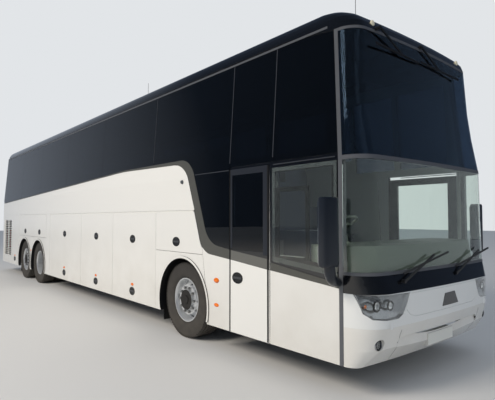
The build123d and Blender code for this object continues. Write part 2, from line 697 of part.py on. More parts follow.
posts = [corner_post(side) for side in SIDES.values()]
with BuildPart() as gasket:
    end_band(nose_rows(((MASK_TOP_Z + FIT, 44), (MASK_TOP_Z + GASKET, 50))), -2, SHELL, 1)
with BuildPart() as divider:
    end_band(nose_rows(((DIVIDER_Z - DIVIDER / 2, 80), (DIVIDER_Z + DIVIDER / 2, 83))), -2, SHELL, 1)
with BuildPart() as header:
    end_band(nose_rows(((EAVES_FRONT_Z - HEADER, 220), (EAVES_FRONT_Z - FIT, 221))), 0, SHELL, 1)
with BuildPart() as joints:
    for side in SIDES.values():
        for z0, z1 in (
            (MASK_TOP_Z + FIT, MASK_TOP_Z + GASKET),
            (DIVIDER_Z - DIVIDER / 2, DIVIDER_Z + DIVIDER / 2),
            (EAVES_FRONT_Z - HEADER, EAVES_FRONT_Z - FIT),
        ):
            x = post_x(z1)
            y = side * half_width(z1)
            cut_box(x - 2, x + CORNER_RUN, y - side * 5, y - side * SHELL, z0, z1, Mode.ADD)
with BuildPart() as screen_frame:
    add(posts)
    for piece in (gasket, divider, header, joints):
        add(piece.part)
screen_frame.part.label = "screen_frame"
export_step(screen_frame.part, "parts/screen_frame.step")

# Clear cab glass: driver's window and the panes of the passenger door
with BuildPart() as cab_glass:
    with BuildSketch(Plane.XZ.offset(WIDTH / 2 - GLASS)) as pane:
        with BuildLine():
            Polyline(*CAB_WINDOW, close=True)
        make_face()
    extrude(pane.sketch, amount=GLASS)
    side_box(1, ENTRY_DOOR[0] + 90, ENTRY_DOOR[1] - 90, 0, GLASS, 900, 2150, Mode.ADD)
cab_glass.part.label = "cab_glass"
export_step(cab_glass.part, "parts/cab_glass.step")

DOOR_LIP = 22.0
with BuildPart() as passenger_door:
    low = ENTRY_DOOR[0] + SEAM
    high = ENTRY_DOOR[1] - SEAM
    top = ENTRY_DOOR_TOP_Z - SEAM
    side_box(1, low, high, 0, 45, SKIRT_Z + 20, SHOULDER_Z, Mode.ADD)
    side_box(1, ENTRY_DOOR[0] + FIT, ENTRY_DOOR[1] - FIT, DOOR_LIP, 45, SKIRT_Z + 20, SHOULDER_Z, Mode.ADD)
    side_box(1, ENTRY_DOOR[0] + 90 - FIT, ENTRY_DOOR[1] - 90 + FIT, -1, GLASS + FIT, 900 - FIT, 2150 + FIT)
    side_box(1, ENTRY_DOOR[0] + 130, ENTRY_DOOR[1] - 130, 0, 2 * WALL, 940, 2110)
passenger_door.part.label = "passenger_door"
export_step(passenger_door.part, "parts/passenger_door.step")

# Roof
FOREHEAD_X = 6100.0
FOREHEAD_Z = 3470.0
FOREHEAD_BACK = 220.0
TAIL_BROW_X = 6600.0
TAIL_BROW_BACK = 120.0
ROOF_HEIGHTS = (EAVES_FRONT_Z, 3556.0, 3610.0, 3660.0, 3705.0, 3742.0, 3771.0, 3783.0, 3790.0)
ROOF_INNER = ((1137.0, 3390.0), (1125.0, 3556.0), (1105.0, 3620.0), (1040.0, 3690.0), (940.0, 3725.0), (500.0, 3738.0))
CAP_CORNER = 190.0
CAP_SHARE = 0.8
HATCHES = (2100.0, -3600.0)
HATCH = 640.0
HATCH_HINGE = 300.0
HATCH_LID = 25.0
HATCH_BED = 35.0


def brow(z, x_middle, x_face):
    """Face of the roof's end at a height: a quarter of an ellipse."""
    return x_middle + (x_face - x_middle) * sqrt(1 - ((z - FOREHEAD_Z) / (HEIGHT - FOREHEAD_Z)) ** 2)


def roof_end(z, x_middle, back, toward):
    """Plan line of one end of the roof at a height."""
    half = half_width(z)
    face = brow(z, x_middle, LENGTH / 2 - back)
    corner = min(CAP_CORNER, half / 2, CAP_SHARE * (face - x_middle))
    return end_curve(face, half, corner, x_middle - 1, 0, toward)


def hatch_plane(x):
    """Section plane of a hatch hinge: x upwards, y forward, normal along the hinge."""
    return Plane(origin=(x + HATCH / 2, -HATCH_HINGE / 2, HEIGHT - HOOK), x_dir=(0, 0, 1), z_dir=(0, 1, 0))


roof_rows = []
for z in ROOF_HEIGHTS:
    with BuildSketch(Plane.XY.offset(z)) as row:
        with BuildLine():
            nose = roof_end(z, FOREHEAD_X, FOREHEAD_BACK, 1)
            tail = roof_end(z, TAIL_BROW_X, TAIL_BROW_BACK, -1)
            Line(nose[0], tail[0])
            Line(nose[1], tail[1])
        make_face()
    roof_rows.append(row.sketch)

with BuildPart() as roof:
    loft(roof_rows, ruled=True)
    with BuildSketch(Plane.YZ.offset(-TAIL_BROW_X - 100)) as space:
        Polygon(*ROOF_INNER, *[(-y, z) for y, z in reversed(ROOF_INNER)], align=None)
    extrude(space.sketch, amount=TAIL_BROW_X + FOREHEAD_X + 300, mode=Mode.SUBTRACT)
    cut_box(FOREHEAD_X, 6600, -1050, 1050, EAVES_FRONT_Z - 1, 3680)
    with BuildSketch(Plane.XZ.offset(-WIDTH)) as under:
        with BuildLine():
            Polyline(
                (-LENGTH, EAVES_FRONT_Z - 100),
                (-LENGTH, EAVES_Z),
                (EAVES_BREAK_X, EAVES_Z),
                (post_x(EAVES_FRONT_Z) - POST_WIDTH, EAVES_FRONT_Z),
                (post_x(EAVES_FRONT_Z), EAVES_FRONT_Z - 100),
                close=True,
            )
        make_face()
    extrude(under.sketch, amount=2 * WIDTH, mode=Mode.SUBTRACT)
    for x in HATCHES:
        cut_box(x - HATCH / 2, x + HATCH / 2 + HOOK + CLEAR, -HATCH / 2, HATCH / 2, HEIGHT - HATCH_BED, HEIGHT + 1)
        inner = HATCH / 2 - FRAME
        cut_box(x - inner, x + inner, -inner, inner, ROOF_INNER[0][1], HEIGHT + 1)
        hinge_rod(hatch_plane(x), HATCH_HINGE)
roof.part.label = "roof"
export_step(roof.part, "parts/roof.step")

# Roof hatches, hinged at their front edge
for number, x in enumerate(HATCHES, 1):
    with BuildPart() as hatch:
        half = HATCH / 2 - SEAM
        cut_box(x - half, x + HATCH / 2 - HOOK + HINGE_WEB, -half, half, HEIGHT - HATCH_LID, HEIGHT, Mode.ADD)
        hinge_hook(hatch_plane(x), HATCH_HINGE)
    hatch.part.label = "roof_hatch_" + str(number)
    export_step(hatch.part, "parts/" + hatch.part.label + ".step")

# Rear wall and engine lid
TAIL = ((SKIRT_Z, 60), (600, 0), (HINGE_Z, 0), (SHOULDER_Z, 15))
TAIL_TOP = ((SHOULDER_Z, 15), (EAVES_Z - FIT, 135))
LID_Z = (560.0, 1480.0)
LID_HALF = 880.0
LID = 30.0
LID_HINGE = 400.0
REAR_WINDOW = (1950.0, 2950.0, 850.0)
TAIL_LAMP = (700.0, 1300.0, 1010.0, 1190.0)


def lid_region(gap, top_gap, mode):
    """Box of the engine lid, grown by a gap round it and another above it."""
    back = -LENGTH / 2
    cut_box(back - 50, back + 300, -LID_HALF - gap, LID_HALF + gap, LID_Z[0] - gap, LID_Z[1] + top_gap, mode)


def lid_plane():
    """Section plane of the engine lid's hinge: x backwards, y upwards, normal along the hinge."""
    return Plane(origin=(-LENGTH / 2 + HOOK, -LID_HINGE / 2, LID_Z[1]), x_dir=(-1, 0, 0), z_dir=(0, 1, 0))


def lamp_region(side, gap, mode):
    """Box of a tail lamp cluster, grown by a gap."""
    low, high, near, far = TAIL_LAMP
    back = -LENGTH / 2
    cut_box(back - 50, back + 300, side * (near - gap), side * (far + gap), low - gap, high + gap, mode)


with BuildPart() as rear_shell:
    end_band(tail_rows(TAIL), 0, WALL, -1)
    end_band(tail_rows(TAIL_TOP), 0, WALL, -1)
    lid_region(SEAM, HOOK + CLEAR, Mode.SUBTRACT)
    hinge_rod(lid_plane(), LID_HINGE)
    for side in SIDES.values():
        lamp_region(side, FIT, Mode.SUBTRACT)
    low, high, half = REAR_WINDOW
    cut_box(-LENGTH / 2 - 50, -LENGTH / 2 + 300, -half + FRAME, half - FRAME, low + FRAME, high - FRAME)
with BuildPart() as window_bed:
    end_band(tail_rows(((SHOULDER_Z - 300, 0), (SHOULDER_Z, 15), (EAVES_Z - FIT, 135))), -1, GLASS + FIT, -1)
    cut_box(-LENGTH, 0, -half, half, low, high, Mode.INTERSECT)
REAR_PLATE_SEAT = (-7044.0, 260.0, 400.0, 520.0)
with BuildPart() as rear_wall:
    add(rear_shell.part)
    face, half, low, high = REAR_PLATE_SEAT
    cut_box(face, face + 60, -half, half, low, high, Mode.ADD)
    add(window_bed.part, mode=Mode.SUBTRACT)
rear_wall.part.label = "rear_wall"
export_step(rear_wall.part, "parts/rear_wall.step")

low, high, half = REAR_WINDOW
with BuildPart() as rear_pane:
    end_band(tail_rows(((SHOULDER_Z - 300, 0), (SHOULDER_Z, 15), (EAVES_Z - FIT, 135))), 0, GLASS, -1)
    cut_box(-LENGTH, 0, -half + FIT, half - FIT, low + FIT, high - FIT, Mode.INTERSECT)
with BuildPart() as saloon_glass:
    add(sheets)
    add(rear_pane.part)
saloon_glass.part.label = "saloon_glass"
export_step(saloon_glass.part, "parts/saloon_glass.step")

with BuildPart() as engine_lid:
    end_band(tail_rows(TAIL), 0, LID, -1)
    lid_region(0, -HOOK + HINGE_WEB, Mode.INTERSECT)
    hinge_hook(lid_plane(), LID_HINGE)
engine_lid.part.label = "engine_lid"
export_step(engine_lid.part, "parts/engine_lid.step")

with BuildPart() as tail_lamp_shell:
    end_band(tail_rows(TAIL), -4, SHELL, -1)
with BuildPart() as lamp_boxes:
    for side in SIDES.values():
        lamp_region(side, 0, Mode.ADD)
with BuildPart() as tail_lamps:
    add(tail_lamp_shell.part)
    add(lamp_boxes.part, mode=Mode.INTERSECT)
tail_lamps.part.label = "tail_lamps"
export_step(tail_lamps.part, "parts/tail_lamps.step")

# Side engine grille: a frame with slats, right and left
SLATS = 19
SLAT = 14.0
GRILLE_RIM = 30.0
GRILLE_IN = 8.0
GRILLE_DEEP = 30.0
with BuildPart() as engine_grilles:
    x0, x1, z0, z1 = GRILLE
    pitch = (z1 - z0 - 2 * GRILLE_RIM) / SLATS
    column = (x1 - x0 - 3 * GRILLE_RIM) / 2
    for side in SIDES.values():
        face_y = max(side * (WIDTH / 2 - GRILLE_IN), side * (WIDTH / 2 - GRILLE_IN - GRILLE_DEEP))
        with BuildSketch(Plane.XZ.offset(-face_y)) as section:
            with Locations(((x0 + x1) / 2, (z0 + z1) / 2)):
                Rectangle(x1 - x0 - 2 * FIT, z1 - z0 - 2 * FIT)
                with GridLocations(column + GRILLE_RIM, pitch, 2, SLATS):
                    Rectangle(column, pitch - SLAT, mode=Mode.SUBTRACT)
        extrude(section.sketch, amount=GRILLE_DEEP)
engine_grilles.part.label = "engine_grilles"
export_step(engine_grilles.part, "parts/engine_grilles.step")

# Floor, hold floor and bulkheads
INNER_Y = WIDTH / 2 - WALL - FIT
HOLD_X = (HOLD_DOORS[0][0] - 60, HOLD_DOORS[-1][1] - 60)
STAIR_X = (ENTRY_DOOR[0] + 50, ENTRY_DOOR[1] - 100)
STAIR_Y = 500.0
hold_y = INNER_Y - FIT
under_slab = FLOOR_Z - FLOOR - FIT
# Panels as x, y and z from and to
FLOOR_PANELS = (
    (-tail_x(SKIRT_Z), CAB_FLOOR_X, -INNER_Y, INNER_Y, FLOOR_Z - FLOOR, FLOOR_Z),
    (CAB_FLOOR_X - FLOOR, CAB_FLOOR_X, -INNER_Y, INNER_Y, CAB_FLOOR_Z + FIT, under_slab),
    (CAB_FLOOR_X - FLOOR, STAIR_X[0] - FIT, -INNER_Y, INNER_Y, CAB_FLOOR_Z - FLOOR, CAB_FLOOR_Z),
    (STAIR_X[0], STAIR_X[1], -INNER_Y, STAIR_Y, CAB_FLOOR_Z - FLOOR, CAB_FLOOR_Z),
    (STAIR_X[1] + FIT, 6640.0, -INNER_Y, INNER_Y, CAB_FLOOR_Z - FLOOR, CAB_FLOOR_Z),
    (HOLD_X[0], HOLD_X[1], -hold_y, hold_y, HOLD_FLOOR_Z - HOLD_FLOOR, HOLD_FLOOR_Z),
    (HOLD_X[0] - FLOOR / 2, HOLD_X[0] + FLOOR / 2, -hold_y, hold_y, HOLD_FLOOR_Z + FIT, under_slab),
    (HOLD_X[1] - FLOOR / 2, HOLD_X[1] + FLOOR / 2, -hold_y, hold_y, HOLD_FLOOR_Z + FIT, under_slab),
)
with BuildPart() as floor:
    for panel in FLOOR_PANELS:
        cut_box(*panel, Mode.ADD)
floor.part.label = "floor"
export_step(floor.part, "parts/floor.step")

# Chassis rails, front and rear, with cross-members
with BuildPart() as chassis_frame:
    rail_low = RAIL_TOP_Z - RAIL_HEIGHT
    for x0, x1 in ((HOLD_X[1] + FLOOR / 2 + FIT, 6500.0), (-6750.0, HOLD_X[0] - FLOOR / 2 - FIT)):
        for side in SIDES.values():
            cut_box(x0, x1, side * (RAIL_Y - RAIL / 2), side * (RAIL_Y + RAIL / 2), rail_low, RAIL_TOP_Z, Mode.ADD)
        for x in (x0 + RAIL, (x0 + x1) / 2, x1 - RAIL):
            cut_box(x - RAIL / 2, x + RAIL / 2, -RAIL_Y, RAIL_Y, rail_low + 40, RAIL_TOP_Z - 40, Mode.ADD)
    for x in (5000.0, 6400.0, -3650.0, -6400.0):
        top = CAB_FLOOR_Z - FLOOR if x > 0 else FLOOR_Z - FLOOR
        for side in SIDES.values():
            cut_box(x - 30, x + 30, side * (RAIL_Y - 30), side * (RAIL_Y + 30), RAIL_TOP_Z - 1, top - FIT, Mode.ADD)
chassis_frame.part.label = "chassis_frame"
export_step(chassis_frame.part, "parts/chassis_frame.step")

# Engine: one plain block behind the rear axles
with BuildPart() as engine:
    cut_box(-6600, -5300, -RAIL_Y + RAIL / 2 + FIT, RAIL_Y - RAIL / 2 - FIT, 480, 1250, Mode.ADD)
engine.part.label = "engine"
export_step(engine.part, "parts/engine.step")

# Wheel arch liners
LINER_LOW_Z = 360.0
LINER_DEPTH = 640.0
FRONT_LINER = 645.0
REAR_LINER = 610.0
with BuildPart() as arch_liners:
    for x, radius in ((FRONT_AXLE_X, FRONT_LINER), (DRIVE_AXLE_X, REAR_LINER), (TAG_AXLE_X, REAR_LINER)):
        for side in SIDES.values():
            high_y = max(side * INNER_Y, side * (INNER_Y - LINER_DEPTH))
            with BuildSketch(Plane.XZ.offset(-high_y)) as section:
                with Locations((x, TYRE_RADIUS)):
                    Circle(radius + LINER)
                    Circle(radius, mode=Mode.SUBTRACT)
                with Locations((x, LINER_LOW_Z - radius)):
                    Rectangle(3 * radius, 2 * radius, mode=Mode.SUBTRACT)
            extrude(section.sketch, amount=LINER_DEPTH)
arch_liners.part.label = "arch_liners"
export_step(arch_liners.part, "parts/arch_liners.step")

# Mud flaps behind the wheels
FLAP_THICK = 8.0
with BuildPart() as mud_flaps:
    for x, radius in ((FRONT_AXLE_X, FRONT_LINER), (TAG_AXLE_X, REAR_LINER)):
        for side in SIDES.values():
            rear = x - radius - LINER - FIT
            outer = side * (INNER_Y - 20)
            cut_box(rear - FLAP_THICK, rear, outer - side * 400, outer, 130, 560, Mode.ADD)
mud_flaps.part.label = "mud_flaps"
export_step(mud_flaps.part, "parts/mud_flaps.step")


# Axles
def axle_plane(x, side=1):
    """Plane on an axle's centre: x outwards along the axle, y upwards."""
    return Plane(origin=(x, 0, TYRE_RADIUS), x_dir=(0, side, 0), z_dir=(side, 0, 0))


def turn(x, side, *points):
    """Turn a closed outline of (distance outwards, radius) about an axle."""
    with BuildSketch(axle_plane(x, side)) as section:
        with BuildLine():
            Polyline(*points, close=True)
        make_face()
    revolve(section.sketch, axis=Axis((x, 0, TYRE_RADIUS), (0, 1, 0)))


def spring_seat(x, low_radius):
    """Air spring between an axle and the rails."""
    for side in SIDES.values():
        low = TYRE_RADIUS + low_radius
        with BuildSketch(Plane.XY.offset(low)) as seat:
            with Locations((x, side * RAIL_Y)):
                Circle(110)
        extrude(seat.sketch, amount=RAIL_TOP_Z - RAIL_HEIGHT - FIT - low)


EYE = 45.0
EYE_HALF = 45.0
FORK = 40.0
with BuildPart() as front_axle:
    cut_box(FRONT_AXLE_X - 40, FRONT_AXLE_X + 40, -KINGPIN_Y + EYE / 2, KINGPIN_Y - EYE / 2, 475, 555, Mode.ADD)
    for side in SIDES.values():
        with BuildSketch(Plane.XY.offset(TYRE_RADIUS - EYE_HALF)) as eye:
            with Locations((FRONT_AXLE_X, side * KINGPIN_Y)):
                Circle(EYE)
        extrude(eye.sketch, amount=2 * EYE_HALF)
        pin_low = TYRE_RADIUS - EYE_HALF - FORK - 10
        with BuildSketch(Plane.XY.offset(pin_low)) as pin:
            with Locations((FRONT_AXLE_X, side * KINGPIN_Y)):
                Circle(KINGPIN_RADIUS)
        extrude(pin.sketch, amount=2 * (TYRE_RADIUS - pin_low))
    spring_seat(FRONT_AXLE_X, 30)
front_axle.part.label = "front_axle"
export_step(front_axle.part, "parts/front_axle.step")

TWIN_MID = TYRE_MID - TWIN_SPACING / 2
DRIVE_TUBE = 90.0
DRIVE_TUBE_END = 610.0
DRIVE_SPINDLE = 55.0
with BuildPart() as drive_axle:
    turn(DRIVE_AXLE_X, 1, (0, 0), (DRIVE_TUBE_END, 0), (DRIVE_TUBE_END, DRIVE_TUBE), (240, DRIVE_TUBE), (150, 210), (0, 230))
    turn(DRIVE_AXLE_X, -1, (0, 0), (DRIVE_TUBE_END, 0), (DRIVE_TUBE_END, DRIVE_TUBE), (240, DRIVE_TUBE), (150, 210), (0, 230))
    turn(DRIVE_AXLE_X, 1, (0, 0), (1050, 0), (1050, DRIVE_SPINDLE), (0, DRIVE_SPINDLE))
    turn(DRIVE_AXLE_X, -1, (0, 0), (1050, 0), (1050, DRIVE_SPINDLE), (0, DRIVE_SPINDLE))
    spring_seat(DRIVE_AXLE_X, 40)
drive_axle.part.label = "drive_axle"
export_step(drive_axle.part, "parts/drive_axle.step")

STUB_END = TYRE_MID + 30
TAG_TUBE_END = TYRE_MID - 95
with BuildPart() as tag_axle:
    for side in SIDES.values():
        turn(TAG_AXLE_X, side, (0, 0), (TAG_TUBE_END, 0), (TAG_TUBE_END, 70), (0, 70))
        turn(TAG_AXLE_X, side, (0, 0), (STUB_END, 0), (STUB_END, SPINDLE_RADIUS), (0, SPINDLE_RADIUS))
    spring_seat(TAG_AXLE_X, 40)
tag_axle.part.label = "tag_axle"
export_step(tag_axle.part, "parts/tag_axle.step")

# Steering knuckles: a fork round the kingpin with the wheel's spindle
KNUCKLE_GAP = 5.0
for name, side in SIDES.items():
    with BuildPart() as knuckle:
        plate_y = KINGPIN_Y + EYE + 12
        for z in (TYRE_RADIUS - EYE_HALF - KNUCKLE_GAP - FORK / 2, TYRE_RADIUS + EYE_HALF + KNUCKLE_GAP + FORK / 2):
            with BuildSketch(Plane.XY.offset(z - FORK / 2)) as arm:
                with Locations((FRONT_AXLE_X, side * KINGPIN_Y)):
                    Circle(EYE)
                with Locations((FRONT_AXLE_X, side * (KINGPIN_Y + plate_y + 20) / 2)):
                    Rectangle(2 * EYE, plate_y + 20 - KINGPIN_Y)
                with Locations((FRONT_AXLE_X, side * KINGPIN_Y)):
                    Circle(KINGPIN_RADIUS + RUNNING_FIT, mode=Mode.SUBTRACT)
            extrude(arm.sketch, amount=FORK)
        half = EYE_HALF + KNUCKLE_GAP + FORK
        cut_box(
            FRONT_AXLE_X - EYE,
            FRONT_AXLE_X + EYE,
            side * plate_y,
            side * (plate_y + 20),
            TYRE_RADIUS - half,
            TYRE_RADIUS + half,
            Mode.ADD,
        )
        turn(
            FRONT_AXLE_X, side, (plate_y, 0), (STUB_END, 0), (STUB_END, SPINDLE_RADIUS), (plate_y, SPINDLE_RADIUS)
        )
    knuckle.part.label = "knuckle_" + name
    export_step(knuckle.part, "parts/" + knuckle.part.label + ".step")


# Tyres and wheels
def tyre_points(mid):
    """Tyre outline about a middle plane, as (distance outwards, radius)."""
    seat = RIM_HALF - 14.3
    half = TYRE_WIDTH / 2
    outer = [
        (seat, TYRE_SEAT + FIT),
        (seat, RIM_FLANGE + 2),
        (half - 20, RIM_FLANGE + 14),
        (half - 2, TYRE_RADIUS - 160),
        (half, TYRE_RADIUS - 115),
        (half - 5, TYRE_RADIUS - 50),
        (half - 20, TYRE_RADIUS - 12),
        (half - 38, TYRE_RADIUS),
    ]
    inner = [(-a, r) for a, r in reversed(outer)]
    return [(mid + a, r) for a, r in outer + inner]


for name, side in SIDES.items():
    for axle, x in (("front", FRONT_AXLE_X), ("tag", TAG_AXLE_X)):
        with BuildPart() as tyre:
            turn(x, side, *tyre_points(TYRE_MID))
        tyre.part.label = "tyre_" + axle + "_" + name
        export_step(tyre.part, "parts/" + tyre.part.label + ".step")

        with BuildPart() as wheel:
            m = TYRE_MID
            turn(
                x,
                side,
                (m - RIM_HALF, RIM_FLANGE),
                (m - RIM_HALF + 14, RIM_FLANGE),
                (m - RIM_HALF + 14, TYRE_SEAT),
                (m + RIM_HALF - 14, TYRE_SEAT),
                (m + RIM_HALF - 14, RIM_FLANGE),
                (m + RIM_HALF, RIM_FLANGE),
                (m + RIM_HALF, RIM_FLANGE - 12),
                (m + RIM_HALF - 25, TYRE_SEAT - 14),
                (m + 35, TYRE_SEAT - 24),
                (m + 45, 245),
                (m + 95, 205),
                (m + 95, 140),
                (m + 125, 138),
                (m + 125, 60),
                (m + 135, 55),
                (m + 135, 0),
                (m + 50, 0),
                (m + 50, SPINDLE_RADIUS + RUNNING_FIT),
                (m - 80, SPINDLE_RADIUS + RUNNING_FIT),
                (m - 80, 130),
                (m + 75, 130),
                (m + 75, 195),
                (m + 25, 235),
                (m + 15, TYRE_SEAT - 24),
                (m - RIM_HALF + 25, TYRE_SEAT - 14),
                (m - RIM_HALF, RIM_FLANGE - 12),
            )
            hole_plane = Plane(origin=(x, side * (m - 60), TYRE_RADIUS), x_dir=(1, 0, 0), z_dir=(0, side, 0))
            with BuildSketch(hole_plane) as holes:
                with PolarLocations(228, 10):
                    Circle(22)
            extrude(holes.sketch, amount=160, mode=Mode.SUBTRACT)
        wheel.part.label = "wheel_" + axle + "_" + name
        export_step(wheel.part, "parts/" + wheel.part.label + ".step")

    with BuildPart() as twin_tyres:
        turn(DRIVE_AXLE_X, side, *tyre_points(TYRE_MID))
        turn(DRIVE_AXLE_X, side, *tyre_points(TYRE_MID - TWIN_SPACING))
    twin_tyres.part.label = "tyres_drive_" + name
    export_step(twin_tyres.part, "parts/" + twin_tyres.part.label + ".step")

    with BuildPart() as twin_wheel:
        for mid, toward in ((TYRE_MID, 1), (TYRE_MID - TWIN_SPACING, -1)):
            turn(
                DRIVE_AXLE_X,
                side,
                (mid + toward * RIM_HALF, RIM_FLANGE),
                (mid + toward * (RIM_HALF - 14), RIM_FLANGE),
                (mid + toward * (RIM_HALF - 14), TYRE_SEAT),
                (mid - toward * (RIM_HALF - 14), TYRE_SEAT),
                (mid - toward * (RIM_HALF - 14), RIM_FLANGE),
                (mid - toward * RIM_HALF, RIM_FLANGE),
                (mid - toward * RIM_HALF, TYRE_SEAT - 20),
                (TWIN_MID + toward * 14, 250),
                (TWIN_MID, 210),
                (TWIN_MID, 120),
                (TWIN_MID + toward * 14, 120),
                (TWIN_MID + toward * 14, 212),
                (TWIN_MID + toward * 40, 262),
                (mid + toward * (RIM_HALF - 25), TYRE_SEAT - 14),
                (mid + toward * RIM_HALF, RIM_FLANGE - 12),
            )
        hub_in = DRIVE_TUBE_END + 10
        turn(
            DRIVE_AXLE_X,
            side,
            (hub_in, DRIVE_SPINDLE + RUNNING_FIT),
            (hub_in, 130),
            (TWIN_MID + 90, 130),
            (TWIN_MID + 110, 110),
            (TWIN_MID + 160, 90),
            (TWIN_MID + 160, 0),
            (1060, 0),
            (1060, DRIVE_SPINDLE + RUNNING_FIT),
        )
        hole_plane = Plane(origin=(DRIVE_AXLE_X, side * (TWIN_MID - 60), TYRE_RADIUS), x_dir=(1, 0, 0), z_dir=(0, side, 0))
        with BuildSketch(hole_plane) as holes:
            with PolarLocations(225, 10):
                Circle(24)
        extrude(holes.sketch, amount=120, mode=Mode.SUBTRACT)
    twin_wheel.part.label = "wheels_drive_" + name
    export_step(twin_wheel.part, "parts/" + twin_wheel.part.label + ".step")

# Mirrors on arms, at both front corners
MIRROR_X = 6670.0
MIRROR_Y = 1505.0
MIRROR_Z = 1520.0
MIRROR_WIDE = 215.0
MIRROR_TALL = 620.0
MIRROR_DEEP = 100.0
MIRROR_CORNER = 60.0
MIRROR_BASE_Z = 925.0
with BuildPart() as mirrors:
    for side in SIDES.values():
        with BuildSketch(Plane.YZ.offset(MIRROR_X)) as housing:
            with Locations((side * MIRROR_Y, MIRROR_Z)):
                RectangleRounded(MIRROR_WIDE, MIRROR_TALL, MIRROR_CORNER)
        extrude(housing.sketch, amount=MIRROR_DEEP)
        cut_box(6700, 6735, side * 1480, side * 1520, MIRROR_BASE_Z, 1260, Mode.ADD)
        cut_box(6610, 6735, side * 1480, side * 1520, MIRROR_BASE_Z, MIRROR_BASE_Z + 40, Mode.ADD)
        cut_box(6610, 6645, side * (WIDTH / 2 + FIT), side * 1520, MIRROR_BASE_Z, MIRROR_BASE_Z + 40, Mode.ADD)
mirrors.part.label = "mirrors"
export_step(mirrors.part, "parts/mirrors.step")

# Dashboard across the cab, following the nose
DASH_BACK_X = 6250.0
DASH_CORNER = 300.0
DASH_SECTIONS = ((CAB_FLOOR_Z + FIT, 130.0), (1120.0, 140.0), (1380.0, 180.0))
dash_rows = []
for z, back in DASH_SECTIONS:
    with BuildSketch(Plane.XY.offset(z)) as row:
        with BuildLine():
            ends = end_curve(LENGTH / 2 - back, WIDTH / 2 - SHELL - 30, DASH_CORNER, DASH_BACK_X, 0, 1)
            Line(ends[0], ends[1])
        make_face()
    dash_rows.append(row.sketch)
DRIVER_Y = -620.0
WHEEL_X = 6130.0
WHEEL_Z = 1560.0
WHEEL_RIM = 225.0
with BuildPart() as dashboard:
    loft(dash_rows, ruled=True)
    wheel_plane = Plane(origin=(WHEEL_X, DRIVER_Y, WHEEL_Z), x_dir=(0, 1, 0), z_dir=(-0.42, 0, 0.91))
    with BuildSketch(wheel_plane) as steering_wheel:
        Circle(WHEEL_RIM)
        Circle(WHEEL_RIM - 28, mode=Mode.SUBTRACT)
        Rectangle(2 * WHEEL_RIM - 30, 40)
        Circle(55)
    extrude(steering_wheel.sketch, amount=24)
    with BuildSketch(wheel_plane) as column:
        Circle(42)
    extrude(column.sketch, amount=-260)
dashboard.part.label = "dashboard"
export_step(dashboard.part, "parts/dashboard.step")

with BuildPart() as driver_seat:
    cut_box(5450, 5850, DRIVER_Y - 180, DRIVER_Y + 180, CAB_FLOOR_Z + FIT, CAB_FLOOR_Z + 380, Mode.ADD)
    cut_box(5400, 5900, DRIVER_Y - 250, DRIVER_Y + 250, CAB_FLOOR_Z + 380, CAB_FLOOR_Z + 500, Mode.ADD)
    cut_box(5330, 5450, DRIVER_Y - 240, DRIVER_Y + 240, CAB_FLOOR_Z + 400, CAB_FLOOR_Z + 1080, Mode.ADD)
    cut_box(5330, 5430, DRIVER_Y - 130, DRIVER_Y + 130, CAB_FLOOR_Z + 1080, CAB_FLOOR_Z + 1260, Mode.ADD)
driver_seat.part.label = "driver_seat"
export_step(driver_seat.part, "parts/driver_seat.step")

SEAT_ROWS = 12
SEAT_PITCH = 860.0
SEAT_FRONT_X = 4300.0
SEAT_INNER_Y = 270.0
SEAT_OUTER_Y = 1170.0
SEAT_SIDE = ((200, 0), (200, 300), (240, 300), (240, 430), (-190, 430), (-290, 1120), (-370, 1120), (-250, 300), (-200, 300), (-200, 0))
with BuildPart() as passenger_seats:
    for side in SIDES.values():
        with BuildSketch(Plane.XZ.offset(-max(side * SEAT_INNER_Y, side * SEAT_OUTER_Y))) as section:
            with Locations(*((SEAT_FRONT_X - row * SEAT_PITCH, FLOOR_Z + FIT) for row in range(SEAT_ROWS))):
                Polygon(*SEAT_SIDE, align=None)
        extrude(section.sketch, amount=SEAT_OUTER_Y - SEAT_INNER_Y)
        middle = side * (SEAT_INNER_Y + SEAT_OUTER_Y) / 2
        rear_x = SEAT_FRONT_X - SEAT_ROWS * SEAT_PITCH
        cut_box(rear_x, SEAT_FRONT_X + SEAT_PITCH, middle - 10, middle + 10, FLOOR_Z + 440, FLOOR_Z + 1200)
passenger_seats.part.label = "passenger_seats"
export_step(passenger_seats.part, "parts/passenger_seats.step")

# Wipers: two below the lower screen, two hung from the brow
def wiper_bar(x, start, end, width):
    """Flat bar across the front between two points (y, z)."""
    run = (end[0] - start[0], end[1] - start[1])
    length = sqrt(run[0] ** 2 + run[1] ** 2)
    side_y = -run[1] / length * width / 2
    side_z = run[0] / length * width / 2
    with BuildSketch(Plane.YZ.offset(x)) as bar:
        Polygon(
            (start[0] - side_y, start[1] - side_z),
            (end[0] - side_y, end[1] - side_z),
            (end[0] + side_y, end[1] + side_z),
            (start[0] + side_y, start[1] + side_z),
            align=None,
        )
    extrude(bar.sketch, amount=12)


# Columns: pivot y and z, skin at the pivot, bar x, arm end (y, z), blade ends (y, z)
WIPERS = (
    (-790.0, 1055.0, 7005.0, 7030.0, (-240.0, 1275.0), (-815.0, 1130.0), (60.0, 1290.0)),
    (250.0, 1055.0, 7025.2, 7030.0, (800.0, 1275.0), (225.0, 1130.0), (1060.0, 1290.0)),
    (-870.0, 3500.0, 6803.2, 6848.0, (-480.0, 3322.0), (-940.0, 3330.0), (-150.0, 3310.0)),
    (-90.0, 3500.0, 6829.3, 6848.0, (300.0, 3322.0), (-110.0, 3330.0), (760.0, 3310.0)),
)
with BuildPart() as wipers:
    for y, z, skin, bar_x, arm_end, blade_start, blade_end in WIPERS:
        with BuildSketch(Plane.YZ.offset(skin)) as boss:
            with Locations((y, z)):
                Circle(18)
        extrude(boss.sketch, amount=bar_x + 12 - skin)
        wiper_bar(bar_x, (y, z), arm_end, 20)
        wiper_bar(bar_x, blade_start, blade_end, 18)
wipers.part.label = "wipers"
